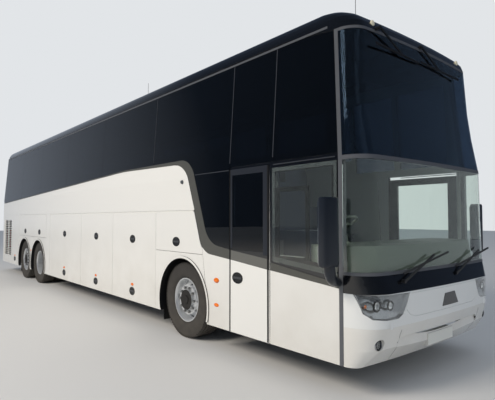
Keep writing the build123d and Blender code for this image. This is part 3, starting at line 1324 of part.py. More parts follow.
export_step(wipers.part, "parts/wipers.step")

# Whip antennas on the roof
WHIPS = ((6240.0, -420.0, 3790.0 + FIT), (1500.0, -550.0, 3790.0 + FIT))
with BuildPart() as antennas:
    for x, y, z in WHIPS:
        with BuildSketch(Plane.XY.offset(z)) as base:
            with Locations((x, y)):
                Circle(22)
        extrude(base.sketch, amount=60)
        with BuildSketch(Plane.XY.offset(z + 50)) as whip:
            with Locations((x, y)):
                Circle(3)
        extrude(whip.sketch, amount=420)
antennas.part.label = "antennas"
export_step(antennas.part, "parts/antennas.step")

# Orange side lamps and reflectors
MARKERS = ((4732.0, 868.0), (4732.0, 562.0), (2390.0, 560.0), (840.0, 560.0), (-970.0, 560.0), (-5340.0, 560.0))
with BuildPart() as marker_lamps:
    for side in SIDES.values():
        for x, z in MARKERS:
            plane = Plane(origin=(x, side * (WIDTH / 2 + FIT), z), x_dir=(1, 0, 0), z_dir=(0, side, 0))
            with BuildSketch(plane) as lens:
                RectangleRounded(110, 42, 18)
            extrude(lens.sketch, amount=12)
marker_lamps.part.label = "marker_lamps"
export_step(marker_lamps.part, "parts/marker_lamps.step")
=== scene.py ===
# %% [markdown]
# A long three-axle coach, dressed for its portrait. The solid model comes first as a fixed
# frame: every panel, door, wheel and pane already has its true size and place. This lesson
# gives each real material its finish, then adds what a sheet-metal model leaves out, such as
# tread, wheel nuts, seals, locks and the insides of the lamps.

from math import cos, pi, radians, sin, sqrt

import bmesh
import bpy
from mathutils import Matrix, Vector


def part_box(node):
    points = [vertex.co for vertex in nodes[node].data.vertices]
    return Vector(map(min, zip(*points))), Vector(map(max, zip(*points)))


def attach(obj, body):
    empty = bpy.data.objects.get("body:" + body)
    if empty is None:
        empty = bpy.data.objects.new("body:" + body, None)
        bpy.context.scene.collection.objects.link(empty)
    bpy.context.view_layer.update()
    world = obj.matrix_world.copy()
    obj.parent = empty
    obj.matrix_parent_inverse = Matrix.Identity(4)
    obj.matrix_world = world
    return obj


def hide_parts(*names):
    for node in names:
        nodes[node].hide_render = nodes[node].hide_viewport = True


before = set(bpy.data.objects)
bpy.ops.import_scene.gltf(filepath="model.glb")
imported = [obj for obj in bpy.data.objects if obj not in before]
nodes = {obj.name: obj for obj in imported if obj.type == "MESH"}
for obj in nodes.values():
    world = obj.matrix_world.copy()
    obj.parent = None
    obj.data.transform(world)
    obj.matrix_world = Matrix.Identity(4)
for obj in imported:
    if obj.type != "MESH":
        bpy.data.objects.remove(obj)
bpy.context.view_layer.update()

# %% [markdown]
# A few sizes serve again and again: where the axles stand, how high their centres are and how
# far out the flat side lies. They are measured on the frame, so none of them is typed twice.
# Distances on a side run outwards from the middle plane, and a sign turns them to the left or
# the right.


# %% Sizes taken from the frame
def middle_of(name):
    """Middle of a node's box along the bus and upwards."""
    low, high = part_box(name)
    return round((low.x + high.x) / 2, 3), round((low.z + high.z) / 2, 3)


SIDES = {"left": 1, "right": -1}
WHEEL_NODE = {"front": "wheel_front_", "drive": "wheels_drive_", "tag": "wheel_tag_"}
WHEEL_BODY = {"front": "front_wheel_", "drive": "drive_wheels_", "tag": "tag_wheel_"}
AXLES = {axle: middle_of(node + "left")[0] for axle, node in WHEEL_NODE.items()}
AXLE_Z = middle_of(WHEEL_NODE["front"] + "left")[1]
SKIN = round(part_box("saloon_glass")[1].y, 4)
print("axles at", AXLES, "and", AXLE_Z, "m up, skin at", SKIN)

# %% [markdown]
# Colours are written as the hex values that a paint chart gives. Shaders want linear light,
# so one function turns them over. Two more make a material and add a node to it: with those,
# each finish reads as a short recipe.


# %% Colour and node helpers
def linear(hex_colour):
    """Linear RGBA of an sRGB hex colour."""
    values = [int(hex_colour[i : i + 2], 16) / 255 for i in (1, 3, 5)]
    return tuple(v / 12.92 if v <= 0.04045 else ((v + 0.055) / 1.055) ** 2.4 for v in values) + (1.0,)


def add_node(tree, kind, settings=None, inputs=None):
    """Add a node; each input, by name or number, is a value or the socket of another node."""
    node = tree.nodes.new(kind)
    for key, value in (settings or {}).items():
        setattr(node, key, value)
    for key, value in (inputs or {}).items():
        if isinstance(value, bpy.types.NodeSocket):
            tree.links.new(value, node.inputs[key])
        else:
            node.inputs[key].default_value = value
    return node


def finish(name, hex_colour, roughness, metallic=0.0, **sockets):
    """A Principled material; extra sockets by name, with spaces as underscores."""
    material = bpy.data.materials.new(name)
    material.use_nodes = True
    shader = shader_of(material)
    shader.inputs["Base Color"].default_value = linear(hex_colour)
    shader.inputs["Roughness"].default_value = roughness
    shader.inputs["Metallic"].default_value = metallic
    for key, value in sockets.items():
        shader.inputs[key.replace("_", " ")].default_value = value
    return material


def shader_of(material):
    """The one shader of a material."""
    return material.node_tree.nodes["Principled BSDF"]


# A Mix node repeats the names A, B and Result for each kind of data, so its sockets for
# colours go by number.
COLOUR_MIX = {"data_type": "RGBA"}
MIX_A, MIX_B, MIX_RESULT = 6, 7, 2
WHITE = "#ECEBE6"
BLACK = "#0B0D11"
BELT_GREY = "#5C5C57"
print("white paint in linear light:", [round(v, 3) for v in linear(WHITE)])

# %% [markdown]
# Coach paint is a two-pack enamel, sprayed and baked: smooth, with a clear hard gloss. Road
# film gathers low on the skirt, so a soft noise, about 0.4 m across, darkens the paint a
# little, more towards the ground.


# %% White enamel with road film
FILM_BOTTOM = 0.25
FILM_SHARE = 0.55


def dusty(material, clean, dirty, top_z, scale=2.5):
    """Colour a material from clean at top_z to dirty near the ground, through a soft noise."""
    tree = material.node_tree
    place = add_node(tree, "ShaderNodeTexCoord").outputs["Object"]
    split = add_node(tree, "ShaderNodeSeparateXYZ", inputs={"Vector": place})
    levels = {"From Min": top_z, "From Max": FILM_BOTTOM, "To Max": FILM_SHARE}
    low_down = add_node(tree, "ShaderNodeMapRange", inputs={"Value": split.outputs["Z"], **levels})
    cloud = add_node(tree, "ShaderNodeTexNoise", inputs={"Vector": place, "Scale": scale, "Detail": 6.0})
    factors = {0: low_down.outputs["Result"], 1: cloud.outputs["Fac"]}
    amount = add_node(tree, "ShaderNodeMath", {"operation": "MULTIPLY"}, factors)
    colours = {"Factor": amount.outputs[0], MIX_A: linear(clean), MIX_B: linear(dirty)}
    mix = add_node(tree, "ShaderNodeMix", COLOUR_MIX, colours)
    tree.links.new(mix.outputs[MIX_RESULT], shader_of(material).inputs["Base Color"])


# Baked white enamel: bright and glossy, a little duller and browner low down.
white_enamel = finish("white_enamel", WHITE, 0.22, Coat_Weight=0.6, Coat_Roughness=0.05)
dusty(white_enamel, WHITE, "#B9B2A4", 1.6)
# Baked black enamel: a deep gloss that mirrors the air.
black_enamel = finish("black_enamel", BLACK, 0.14, Coat_Weight=0.7, Coat_Roughness=0.03)
print("paints:", white_enamel.name, black_enamel.name)

# %% [markdown]
# The mask across the nose is white below and black above one straight line, and the
# emergency door changes from white to grey to black where the belt line crosses it. Those
# edges are masked and sprayed, not cut, so a test on the height paints them.


# %% Paint that changes along a line
def painted_above(name, low_hex, bands, slope=0.0, from_x=0.0):
    """Enamel that turns to another colour above each height, on a line that falls with x."""
    material = finish(name, low_hex, 0.2, Coat_Weight=0.6, Coat_Roughness=0.04)
    tree = material.node_tree
    place = add_node(tree, "ShaderNodeTexCoord")
    split = add_node(tree, "ShaderNodeSeparateXYZ", inputs={"Vector": place.outputs["Object"]})
    fall = {0: split.outputs["X"], 1: slope, 2: -slope * from_x}
    along = add_node(tree, "ShaderNodeMath", {"operation": "MULTIPLY_ADD"}, fall)
    heights = {0: split.outputs["Z"], 1: along.outputs[0]}
    level = add_node(tree, "ShaderNodeMath", {"operation": "ADD"}, heights)
    colour = linear(low_hex)
    for height, hex_colour in bands:
        test = {0: level.outputs[0], 1: height}
        above = add_node(tree, "ShaderNodeMath", {"operation": "GREATER_THAN"}, test)
        colours = {"Factor": above.outputs[0], MIX_A: colour, MIX_B: linear(hex_colour)}
        colour = add_node(tree, "ShaderNodeMix", COLOUR_MIX, colours).outputs[MIX_RESULT]
    tree.links.new(colour, shader_of(material).inputs["Base Color"])
    return material


# Heights in metres. Those of the belt hold at the door's rear edge and fall towards the nose.
MASK_LINE = 0.955
REAR_LINE = 2.13
DOOR_REAR_X = 4.997
BELT_BANDS = [(1.147, BELT_GREY), (1.263, BLACK)]
mask_enamel = painted_above("mask_enamel", "#E8E9E6", [(MASK_LINE, BLACK)])
door_enamel = painted_above("door_enamel", WHITE, BELT_BANDS, slope=0.10, from_x=DOOR_REAR_X)
rear_enamel = painted_above("rear_enamel", WHITE, [(REAR_LINE, BLACK)])
print("masked paints:", mask_enamel.name, door_enamel.name, rear_enamel.name)

# %% [markdown]
# Coach glass is laminated or toughened float glass. Tint in the glass darkens what shows
# through it, while the surface keeps the same clear reflection. Each pane is a real slab, so
# light is tinted twice, once at each face.

# %% Glass
# Toughened privacy glass: almost black from outside, with one sharp reflection.
side_glass = finish("privacy_glass", "#2A333E", 0.0, IOR=1.52, Transmission_Weight=1.0)
# Laminated screen glass with a blue tint: the cabin behind it is a dim blue.
screen_glass = finish("tinted_screen_glass", "#4E6278", 0.0, IOR=1.52, Transmission_Weight=1.0)
# Plain float glass: clear, with the slight green of its iron.
clear_glass = finish("float_glass", "#F0F8F3", 0.0, IOR=1.52, Transmission_Weight=1.0)
# Moulded polycarbonate: as clear as glass, with a stronger reflection.
lamp_cover = finish("polycarbonate_cover", "#F4F6F6", 0.0, IOR=1.58, Transmission_Weight=1.0)
print("glass:", [glass.name for glass in (side_glass, screen_glass, clear_glass, lamp_cover)])

# %% [markdown]
# The metals are forged aluminium under brake dust, plated and painted steel, and castings
# left as they came from the sand. Roughness does most of the work: a plated nut has a small
# hard highlight, a dusty wheel a wide soft one.

# %% Metals
# Forged aluminium under dust: a pale, wide highlight.
dusty_alloy = finish("dusty_forged_alloy", "#DDDFE0", 0.35, 0.65)
# Zinc-plated steel: small bright points on nuts and rails.
steel = finish("zinc_plated_steel", "#9A9A98", 0.35, 1.0)
# Metallised plastic: a mirror that is just soft enough to blur.
lamp_bowl = finish("vacuum_metallised_bowl", "#A4A7AA", 0.22, 1.0)
# Anodised posts and gutters: even grey, without a hard edge of light.
post_trim = finish("anodised_post", "#6A6C70", 0.45, 0.4)
# Satin-painted belt trim: warm grey with a low sheen.
belt_trim = finish("satin_trim", BELT_GREY, 0.4, 0.3)
# Castings: dark, rough, and dull.
cast_iron = finish("cast_iron", "#3A3836", 0.6, 0.5)
# Brushed-on chassis paint: nearly matt black.
chassis_enamel = finish("chassis_enamel", "#2A2A2B", 0.6)
print("metals:", dusty_alloy.name, steel.name, lamp_bowl.name, cast_iron.name)

# %% [markdown]
# Plastics are moulded and have a soft even sheen. Rubber is duller, and on the tyres it is
# greyed by dust, in clouds about 0.1 m across. Lenses are dyed acrylic with a polished face.

# %% Plastics and rubber
# Moulded ABS: black with a broad grey sheen.
black_abs = finish("moulded_abs", "#17181A", 0.45)
# Grip bars are lighter, so that they show in their wells.
handle_grey = finish("handle_plastic", "#3E4044", 0.4)
# Soft rubber: black and dull. It also colours the bumper seams, where the dark strip is painted shade of a
# groove.
rubber_and_seam_shade = finish("rubber_and_seam_shade", "#131314", 0.65)
# Tyre rubber: charcoal, with brown-grey dust towards the road.
tyre_rubber = finish("tyre_rubber", "#38363A", 0.8)
dusty(tyre_rubber, "#3A3836", "#6B655B", 1.2, 9.0)
# Acrylic lenses: strong colour under a hard gloss.
orange_lens = finish("orange_lens", "#F07818", 0.15, Coat_Weight=0.5)
red_lens = finish("red_lens", "#A01414", 0.15, Coat_Weight=0.5)
# Pale lining, grey-green dashboard and grey vinyl floor: all matt, so the cabin looks calm.
lining = finish("cabin_lining", "#BCC0BC", 0.7)
dash_plastic = finish("dash_plastic", "#868C84", 0.55)
floor_vinyl = finish("floor_vinyl", "#6A6B6D", 0.6)
print("finishes so far:", len(bpy.data.materials))

# %% [markdown]
# Seat cloth is a woven moquette. Its threads are about 1 mm wide, too fine to show here, so
# the weave is drawn as checks of 20 mm.

# %% Seat cloth
# Moquette: no highlight, a faint sheen at its edges.
WARP, WEFT = "#26324A", "#33405A"
CHECK = 0.020
seat_cloth = finish("moquette", WARP, 0.9, Sheen_Weight=0.3)
cloth_tree = seat_cloth.node_tree
cloth_place = add_node(cloth_tree, "ShaderNodeTexCoord").outputs["Object"]
threads = {"Vector": cloth_place, "Scale": 1 / CHECK, "Color1": linear(WARP), "Color2": linear(WEFT)}
weave = add_node(cloth_tree, "ShaderNodeTexChecker", inputs=threads)
cloth_tree.links.new(weave.outputs["Color"], shader_of(seat_cloth).inputs["Base Color"])
print("checks of", CHECK, "m")

# %% [markdown]
# Now each node of the frame gets its finish from a table. What there is on both sides is
# named once, with a gap for the side.

# %% Give each node its finish
FINISHES = (
    (white_enamel, ("engine_grilles", "engine_lid", "front_bumper")),
    (mask_enamel, ("front_mask",)),
    (door_enamel, ("emergency_door", "passenger_door")),
    (rear_enamel, ("rear_wall",)),
    (black_enamel, ("roof", "roof_hatch_1", "roof_hatch_2")),
    (belt_trim, ("waist_bands",)),
    (post_trim, ("screen_frame",)),
    (side_glass, ("saloon_glass", "emergency_door_glass")),
    (screen_glass, ("windscreen_upper",)),
    (clear_glass, ("windscreen_lower", "cab_glass")),
    (lamp_cover, ("headlamps",)),
    (orange_lens, ("marker_lamps",)),
    (red_lens, ("tail_lamps",)),
    (black_abs, ("antennas", "arch_liners", "mirrors", "wipers")),
    (rubber_and_seam_shade, ("mud_flaps",)),
    (cast_iron, ("front_axle", "drive_axle", "tag_axle", "engine")),
    (chassis_enamel, ("chassis_frame",)),
    (dash_plastic, ("dashboard",)),
    (floor_vinyl, ("floor",)),
    (seat_cloth, ("driver_seat", "passenger_seats")),
)
BOTH_SIDES = (
    (white_enamel, ("side_wall_{}", "front_arch_flap_{}", "rear_arch_flap_{}")),
    (white_enamel, ("hold_door_{}_1", "hold_door_{}_2", "hold_door_{}_3")),
    (cast_iron, ("knuckle_{}",)),
    (tyre_rubber, ("tyre_front_{}", "tyres_drive_{}", "tyre_tag_{}")),
    (dusty_alloy, ("wheel_front_{}", "wheels_drive_{}", "wheel_tag_{}")),
)
finishes = {name: material for material, names in FINISHES for name in names}
for side in SIDES:
    finishes.update({name.format(side): material for material, names in BOTH_SIDES for name in names})

for name, node in nodes.items():
    node.data.materials.clear()
    node.data.materials.append(finishes[name])
print("finished nodes:", len(nodes), "without one:", sorted(set(nodes) - set(finishes)))

# %% [markdown]
# A side wall is white outside, black where glass is bonded over it, and lined inside. The
# faces already lie apart, so each takes its colour from where its middle is.

# %% Colour the side walls face by face
# Top edge of the white panels, as (x, z) from the tail to the nose.
WHITE_EDGE = ((-7.1, 2.11), (2.0, 2.445), (3.95, 2.40), (4.40, 1.24), (6.7, 0.985))
EDGE_PLAY = 0.004
INNER_FACE = 1.23
ARCH_RADIUS = 0.68


def edge_height(x):
    """Height of the white panels' top edge at x."""
    for (x0, z0), (x1, z1) in zip(WHITE_EDGE, WHITE_EDGE[1:]):
        if x <= x1:
            return z0 + (z1 - z0) * (x - x0) / (x1 - x0)
    return WHITE_EDGE[-1][1]


def from_axle(point, x):
    """Distance of a point from the axle at x, seen from the side."""
    return sqrt((point.x - x) ** 2 + (point.z - AXLE_Z) ** 2)


for side, sign in SIDES.items():
    wall = nodes["side_wall_" + side].data
    for material in (black_enamel, lining, black_abs):
        wall.materials.append(material)
    for face in wall.polygons:
        middle = face.center
        looks_inwards = face.normal.y * sign < -0.5
        on_an_edge = abs(face.normal.y) < 0.3
        near_arch = any(from_axle(middle, x) < ARCH_RADIUS for x in AXLES.values())
        if middle.z > edge_height(middle.x) - EDGE_PLAY:
            face.material_index = 1
        if looks_inwards and abs(middle.y) < INNER_FACE:
            face.material_index = 2
        if near_arch and on_an_edge:
            face.material_index = 3
print("walls coloured:", len(wall.polygons), "faces each")

# %% [markdown]
# A wheel is one forged disc, but the hub that shows through its middle is a greasy casting.
# The faces near the axle take that finish.

# %% Colour the hubs
HUB_RADIUS = 0.135
hub_faces = 0
for side in SIDES:
    for axle, x in AXLES.items():
        wheel = nodes[WHEEL_NODE[axle] + side].data
        wheel.materials.append(cast_iron)
        for face in wheel.polygons:
            if from_axle(face.center, x) < HUB_RADIUS:
                face.material_index = 1
                hub_faces += 1
print("hub faces:", hub_faces)

# %% [markdown]
# Round shapes in the frame are facets. Smooth shading, with a limit on the angle, rounds
# them off and leaves real edges sharp.

# %% Smooth what is round
SHARP_FROM = radians(32)
for node in nodes.values():
    node.data.shade_smooth()
    node.data.set_sharp_from_angle(angle=SHARP_FROM)
print("smoothed nodes:", len(nodes))

# %% [markdown]
# A piece made here is a mesh with its place in its vertices, and rides on one body of the
# frame. It may be made of several closed shapes, each a list of points and a list of faces,
# so one function joins them and another makes the piece.


# %% Make a piece
def joined(*shapes):
    """One list of vertices and faces from several."""
    vertices = []
    faces = []
    for more_vertices, more_faces in shapes:
        base = len(vertices)
        vertices += more_vertices
        faces += [[base + i for i in face] for face in more_faces]
    return vertices, faces


def put(name, shapes, material, body, smooth=30):
    """One piece from closed shapes, riding on a body; edges over smooth degrees stay sharp."""
    vertices, faces = joined(*shapes)
    mesh = bpy.data.meshes.new(name)
    mesh.from_pydata(vertices, [], faces)
    loose = bmesh.new()
    loose.from_mesh(mesh)
    bmesh.ops.remove_doubles(loose, verts=loose.verts, dist=1e-6)
    bmesh.ops.recalc_face_normals(loose, faces=loose.faces)
    loose.to_mesh(mesh)
    loose.free()
    mesh.materials.append(material)
    if smooth:
        mesh.shade_smooth()
        mesh.set_sharp_from_angle(angle=radians(smooth))
    piece = bpy.data.objects.new(name, mesh)
    bpy.context.scene.collection.objects.link(piece)
    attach(piece, body)
    return piece


# %% [markdown]
# Four shapes serve for nearly everything: a plain box, a box on one side of the bus, a wall of
# rings that is closed at both ends, and an outline turned about an axle, as on a lathe.

# %% Closed shapes
BOX_FACES = [(0, 1, 3, 2), (4, 6, 7, 5), (0, 4, 5, 1), (2, 3, 7, 6), (0, 2, 6, 4), (1, 5, 7, 3)]


def block(low, high):
    """A box from two corners."""
    (x0, y0, z0), (x1, y1, z1) = low, high
    return [(x, y, z) for x in (x0, x1) for y in (y0, y1) for z in (z0, z1)], BOX_FACES


def on_side(side, y_in, y_out, x0, x1, z0, z1):
    """A box on one side, from depths measured outwards from the middle plane."""
    y0, y1 = sorted((side * y_in, side * y_out))
    return block((x0, y0, z0), (x1, y1, z1))


def ring_wall(rings):
    """Quads between rings of equal length, with a fan over the first and the last ring."""
    count = len(rings[0])
    vertices = [p for ring in rings for p in ring]
    faces = []
    for row in range(len(rings) - 1):
        for k in range(count):
            a, b = row * count + k, row * count + (k + 1) % count
            faces.append((a, b, b + count, a + count))
    for row in (0, len(rings) - 1):
        ring = rings[row]
        vertices.append(tuple(sum(p[i] for p in ring) / count for i in range(3)))
        faces += [(row * count + k, row * count + (k + 1) % count, len(vertices) - 1) for k in range(count)]
    return vertices, faces


def lathe(sections):
    """Quads between sections that stand round a circle, the last one next to the first."""
    count = len(sections[0])
    vertices = [p for section in sections for p in section]
    faces = []
    for step in range(len(sections)):
        here, there = step * count, (step + 1) % len(sections) * count
        for k in range(count):
            after = (k + 1) % count
            faces.append((here + k, here + after, there + after, there + k))
    return vertices, faces


def turns(steps, share=1.0):
    """Angles that divide a turn, or a share of one."""
    return [2 * pi * share * k / steps for k in range(steps)]


print("a box has", len(BOX_FACES), "faces")

# %% [markdown]
# The tyres are 295/80 R22.5 road tyres. Four grooves run round the tread, and small lettering
# stays off. The solid tyre has the right section, so this one repeats it with the grooves cut
# 14 mm deep. The shoulders carry short blocks, with cross cuts between them.

# %% Tyre sections
# Half widths are from the tyre's middle plane. The bead has its half width and its radius, and
# a groove its half width at the top and at the bottom.
TYRE_RADIUS = 0.515
SECTION_HALF = 0.1475
BEAD = (0.1077, 0.2883)
TREAD_HALF = 0.1095
GROOVES = (0.076, 0.026)
GROOVE_HALF = (0.007, 0.004)
GROOVE_DEPTH = 0.014
TYRE_STEPS = 96
BLOCKS = 72
BLOCK_SHARE = 0.72
BLOCK_EDGES = ((0.1115, 0.1385), (-0.1385, -0.1115))
BLOCK_TOPS = (0.5135, 0.5085)
BLOCK_DEPTH = 0.012
BLOCK_PROUD = 0.0012


def tyre_ring(mid, x, side):
    """Grooved tyre about a middle plane."""
    half = SECTION_HALF
    bottom = TYRE_RADIUS - GROOVE_DEPTH
    right = [
        BEAD,
        (BEAD[0], 0.302),
        (half - 0.020, 0.314),
        (half - 0.006, 0.335),
        (half - 0.001, 0.375),
        (half, 0.400),
        (half - 0.002, 0.435),
        (half - 0.006, 0.467),
        (half - 0.012, 0.490),
        (half - 0.018, 0.503),
        (half - 0.030, 0.5115),
        (TREAD_HALF, TYRE_RADIUS),
    ]
    wide, narrow = GROOVE_HALF
    for groove in GROOVES:
        right += [(groove + wide, TYRE_RADIUS), (groove + narrow, bottom)]
        right += [(groove - narrow, bottom), (groove - wide, TYRE_RADIUS)]
    outline = right + [(-out, radius) for out, radius in reversed(right)]
    return lathe(
        [
            [(x + radius * cos(t), side * (mid + out), AXLE_Z + radius * sin(t)) for out, radius in outline]
            for t in turns(TYRE_STEPS)
        ]
    )


def tyre_blocks(mid, x, side):
    """Short blocks on both shoulders."""
    blocks = []
    for start in turns(BLOCKS):
        end = start + 2 * pi / BLOCKS * BLOCK_SHARE
        for edges in BLOCK_EDGES:
            corners = []
            for angle in (start, end):
                for out, top in zip(edges, BLOCK_TOPS):
                    for radius in (top - BLOCK_DEPTH, top + BLOCK_PROUD):
                        along, up = radius * cos(angle), radius * sin(angle)
                        corners.append((x + along, side * (mid + out), AXLE_Z + up))
            blocks.append((corners, BOX_FACES))
    return joined(*blocks)


print("grooves:", 2 * len(GROOVES), "blocks on a shoulder:", BLOCKS)

# %% [markdown]
# The drive axle has twin wheels, so its tyre piece holds two rings. Every tyre rides on its
# own wheel and takes the place of the solid one.

# %% Tyres with a grooved tread
TYRE_MID = 1.0975
TWIN_SPACING = 0.34
# Each tyre node has its axle and the middle planes of its rings.
TYRE_NODES = {
    "tyre_front_": ("front", (TYRE_MID,)),
    "tyre_tag_": ("tag", (TYRE_MID,)),
    "tyres_drive_": ("drive", (TYRE_MID, TYRE_MID - TWIN_SPACING)),
}
for side, sign in SIDES.items():
    for node, (axle, mids) in TYRE_NODES.items():
        name = node + side
        shapes = [shape(mid, AXLES[axle], sign) for mid in mids for shape in (tyre_ring, tyre_blocks)]
        tyre = put("treaded_" + name, shapes, tyre_rubber, WHEEL_BODY[axle] + side, smooth=35)
        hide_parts(name)
        print(name, "has", len(tyre.data.polygons), "faces")

# %% [markdown]
# Ten nuts hold each wheel, on a 335 mm circle. They repeat by a rule, so a small tree of
# Geometry Nodes places them: a circle gives the places, and a hexagonal prism stands on each.


# %% Wheel nuts with Geometry Nodes
NUT_CIRCLE = 0.1675
NUT_RADIUS = 0.019
NUT_LENGTH = 0.03
NUT_SIDES = 6
NUT_COUNT = 10


def nut_tree():
    """Tree that stands hexagonal nuts on a circle of points."""
    tree = bpy.data.node_groups.new("wheel_nuts", "GeometryNodeTree")
    sizes = (("Circle Radius", NUT_CIRCLE), ("Nut Radius", NUT_RADIUS), ("Nut Length", NUT_LENGTH))
    for name, value in sizes:
        socket = tree.interface.new_socket(name, in_out="INPUT", socket_type="NodeSocketFloat")
        socket.default_value = value
    count = tree.interface.new_socket("Count", in_out="INPUT", socket_type="NodeSocketInt")
    count.default_value = NUT_COUNT
    tree.interface.new_socket("Material", in_out="INPUT", socket_type="NodeSocketMaterial")
    tree.interface.new_socket("Geometry", in_out="OUTPUT", socket_type="NodeSocketGeometry")
    given = add_node(tree, "NodeGroupInput").outputs
    places = {"Radius": given["Circle Radius"], "Vertices": given["Count"]}
    circle = add_node(tree, "GeometryNodeMeshCircle", inputs=places)
    nut = {"Radius": given["Nut Radius"], "Depth": given["Nut Length"], "Vertices": NUT_SIDES}
    prism = add_node(tree, "GeometryNodeMeshCylinder", inputs=nut)
    copies = {"Points": circle.outputs["Mesh"], "Instance": prism.outputs["Mesh"]}
    stand = add_node(tree, "GeometryNodeInstanceOnPoints", inputs=copies)
    real = add_node(tree, "GeometryNodeRealizeInstances", inputs={"Geometry": stand.outputs["Instances"]})
    plated = {"Geometry": real.outputs["Geometry"], "Material": given["Material"]}
    coat = add_node(tree, "GeometryNodeSetMaterial", inputs=plated)
    add_node(tree, "NodeGroupOutput", inputs={"Geometry": coat.outputs["Geometry"]})
    return tree


def grown(tree, values):
    """Plain mesh that a tree makes, with inputs by name."""
    seed = bpy.data.objects.new("seed", bpy.data.meshes.new("seed"))
    bpy.context.scene.collection.objects.link(seed)
    modifier = seed.modifiers.new("grow", "NODES")
    modifier.node_group = tree
    inputs = [item for item in tree.interface.items_tree if item.in_out == "INPUT"]
    identifiers = {item.name: item.identifier for item in inputs}
    for key, value in values.items():
        modifier[identifiers[key]] = value
    bpy.context.view_layer.update()
    seen = seed.evaluated_get(bpy.context.evaluated_depsgraph_get())
    mesh = bpy.data.meshes.new_from_object(seen)
    seed.modifiers.remove(modifier)
    bpy.data.objects.remove(seed)
    return mesh


nut_ring = grown(nut_tree(), {"Circle Radius": NUT_CIRCLE, "Material": steel})
print("nuts on each wheel:", len(nut_ring.polygons) // (NUT_SIDES + 2))

# %% [markdown]
# The tree makes its ring flat on the ground. Each wheel gets a copy, stood up and set on the
# face of its disc, with 4 mm of the nut sunk into it. The drive wheels are dished inwards, so
# their nuts stand further in.

# %% Nuts on every wheel
DISC_FACE = 0.098
DRIVE_FACE = 0.02
NUT_SUNK = 0.004
WHEEL_FACE = {axle: TYRE_MID + DISC_FACE for axle in ("front", "tag")}
WHEEL_FACE["drive"] = TYRE_MID - TWIN_SPACING / 2 + DRIVE_FACE
places = [v.co for v in nut_ring.vertices]
nut_faces = [list(face.vertices) for face in nut_ring.polygons]
for side, sign in SIDES.items():
    for axle, x in AXLES.items():
        out = WHEEL_FACE[axle] + NUT_LENGTH / 2 - NUT_SUNK
        nut_points = [(x + p.x, sign * (out + p.z), AXLE_Z + p.y) for p in places]
        name = "wheel_nuts_" + axle + "_" + side
        put(name, [(nut_points, nut_faces)], steel, WHEEL_BODY[axle] + side, smooth=0)
print("nut faces at", WHEEL_FACE)

# %% [markdown]
# Oval handles sit in the doors and flaps, each with a finger well and a grip bar across it.
# They are moulded in black plastic, stand a few millimetres proud, and ride on their own door.
# One function stretches a round outline along the bus.


# %% Door handles
def boss(x, z, side, half_wide, half_high, outline, steps=32):
    """Closed oval boss on the side: outline rows are (distance outwards, share of the size)."""
    rows = []
    for out, share in outline:
        wide, high = half_wide * share, half_high * share
        rows.append([(x + wide * cos(t), side * (SKIN + out), z + high * sin(t)) for t in turns(steps)])
    return ring_wall(rows)


# A handle has its half width and half height, and a bar is measured from the handle's middle.
HANDLE = (0.098, 0.067)
HANDLE_RIM = ((-0.0005, 1.0), (0.003, 1.0), (0.0045, 0.93), (0.0035, 0.84), (0.0005, 0.78))
GRIP_DEPTH = (SKIN + 0.0002, SKIN + 0.0045)
GRIP_Z = (-0.012, 0.014)
GRIP_SHARE = 0.78
HOLD_ROWS = (1.305, 0.45)
HANDLES = {
    "hold_door_{}_1": [(-0.97, z) for z in HOLD_ROWS],
    "hold_door_{}_2": [(0.84, z) for z in HOLD_ROWS],
    "hold_door_{}_3": [(2.39, z) for z in HOLD_ROWS],
    "front_arch_flap_{}": [(3.763, 1.314)],
    "rear_arch_flap_{}": [(-4.23, 1.30), (-2.90, 1.30)],
    "body": [(-5.34, 0.463)],
}


def add_handles(label, places, side, body):
    """Black wells and grey grip bars at the given places on one side."""
    wide, high = HANDLE
    wells = [boss(x, z, side, wide, high, HANDLE_RIM) for x, z in places]
    reach = wide * GRIP_SHARE
    foot, top = GRIP_Z
    bars = [on_side(side, *GRIP_DEPTH, x - reach, x + reach, z + foot, z + top) for x, z in places]
    put("wells_" + label, wells, black_abs, body)
    put("grips_" + label, bars, handle_grey, body, smooth=0)


for side, sign in SIDES.items():
    for where, places in HANDLES.items():
        body = where.format(side)
        add_handles(body + ("_" + side if body == "body" else ""), places, sign, body)
add_handles("emergency_door", [(5.15, 0.939)], -1, "emergency_door")
print("handles:", 2 * sum(len(places) for places in HANDLES.values()) + 1)

# %% [markdown]
# Orange lenses mark the side. A bulging indicator and a reflector sit behind each front door,
# small oval reflectors stand above the lower handles, and one more is between the rear
# arches, where the solid model has none. The others keep the solid lenses' places.

# %% Side lamps
# Each lens is x, z, half width, half height and bulge.
SIDE_LENSES = [(4.732, 0.868, 0.052, 0.032, 0.022), (4.732, 0.562, 0.050, 0.024, 0.010)]
SIDE_LENSES += [(x, 0.560, 0.050, 0.024, 0.010) for x in (2.390, 0.840, -0.970, -5.340)]
SIDE_LENSES += [(-3.65, 0.800, 0.038, 0.018, 0.008)]
side_lamps = []
for sign in (-1, 1):
    for x, z, wide, high, bulge in SIDE_LENSES:
        crown = [(bulge * sin(t), cos(t)) for t in turns(6, 0.25)]
        side_lamps.append(boss(x, z, sign, wide, high, [(-0.0005, 1.0)] + crown))
lenses_on_side = put("side_lamps", side_lamps, orange_lens, "body")
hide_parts("marker_lamps")
print("side lamps:", len(side_lamps))

# %% [markdown]
# A headlamp is a bright bowl behind a clear moulded cover. The frame has both as one slab
# 40 mm thick. It is swapped for a unit of the same form: a 3 mm cover that follows the nose,
# and a metallised bowl that fills the rest, with two projector lenses in dark bezels, an
# orange indicator bulb and a clear fog lamp lens below.


# %% Headlamp bowls and covers
def on_skin(node, y, z, deeper=0.0):
    """Point on a node's front skin, seen from ahead, or that much below it."""
    hit, place, _, _ = nodes[node].ray_cast(Vector((8.0, y, z)), Vector((-1, 0, 0)))
    if not hit:
        raise ValueError("no skin of " + node + " at " + str((y, z)))
    return (place.x - deeper, y, z)


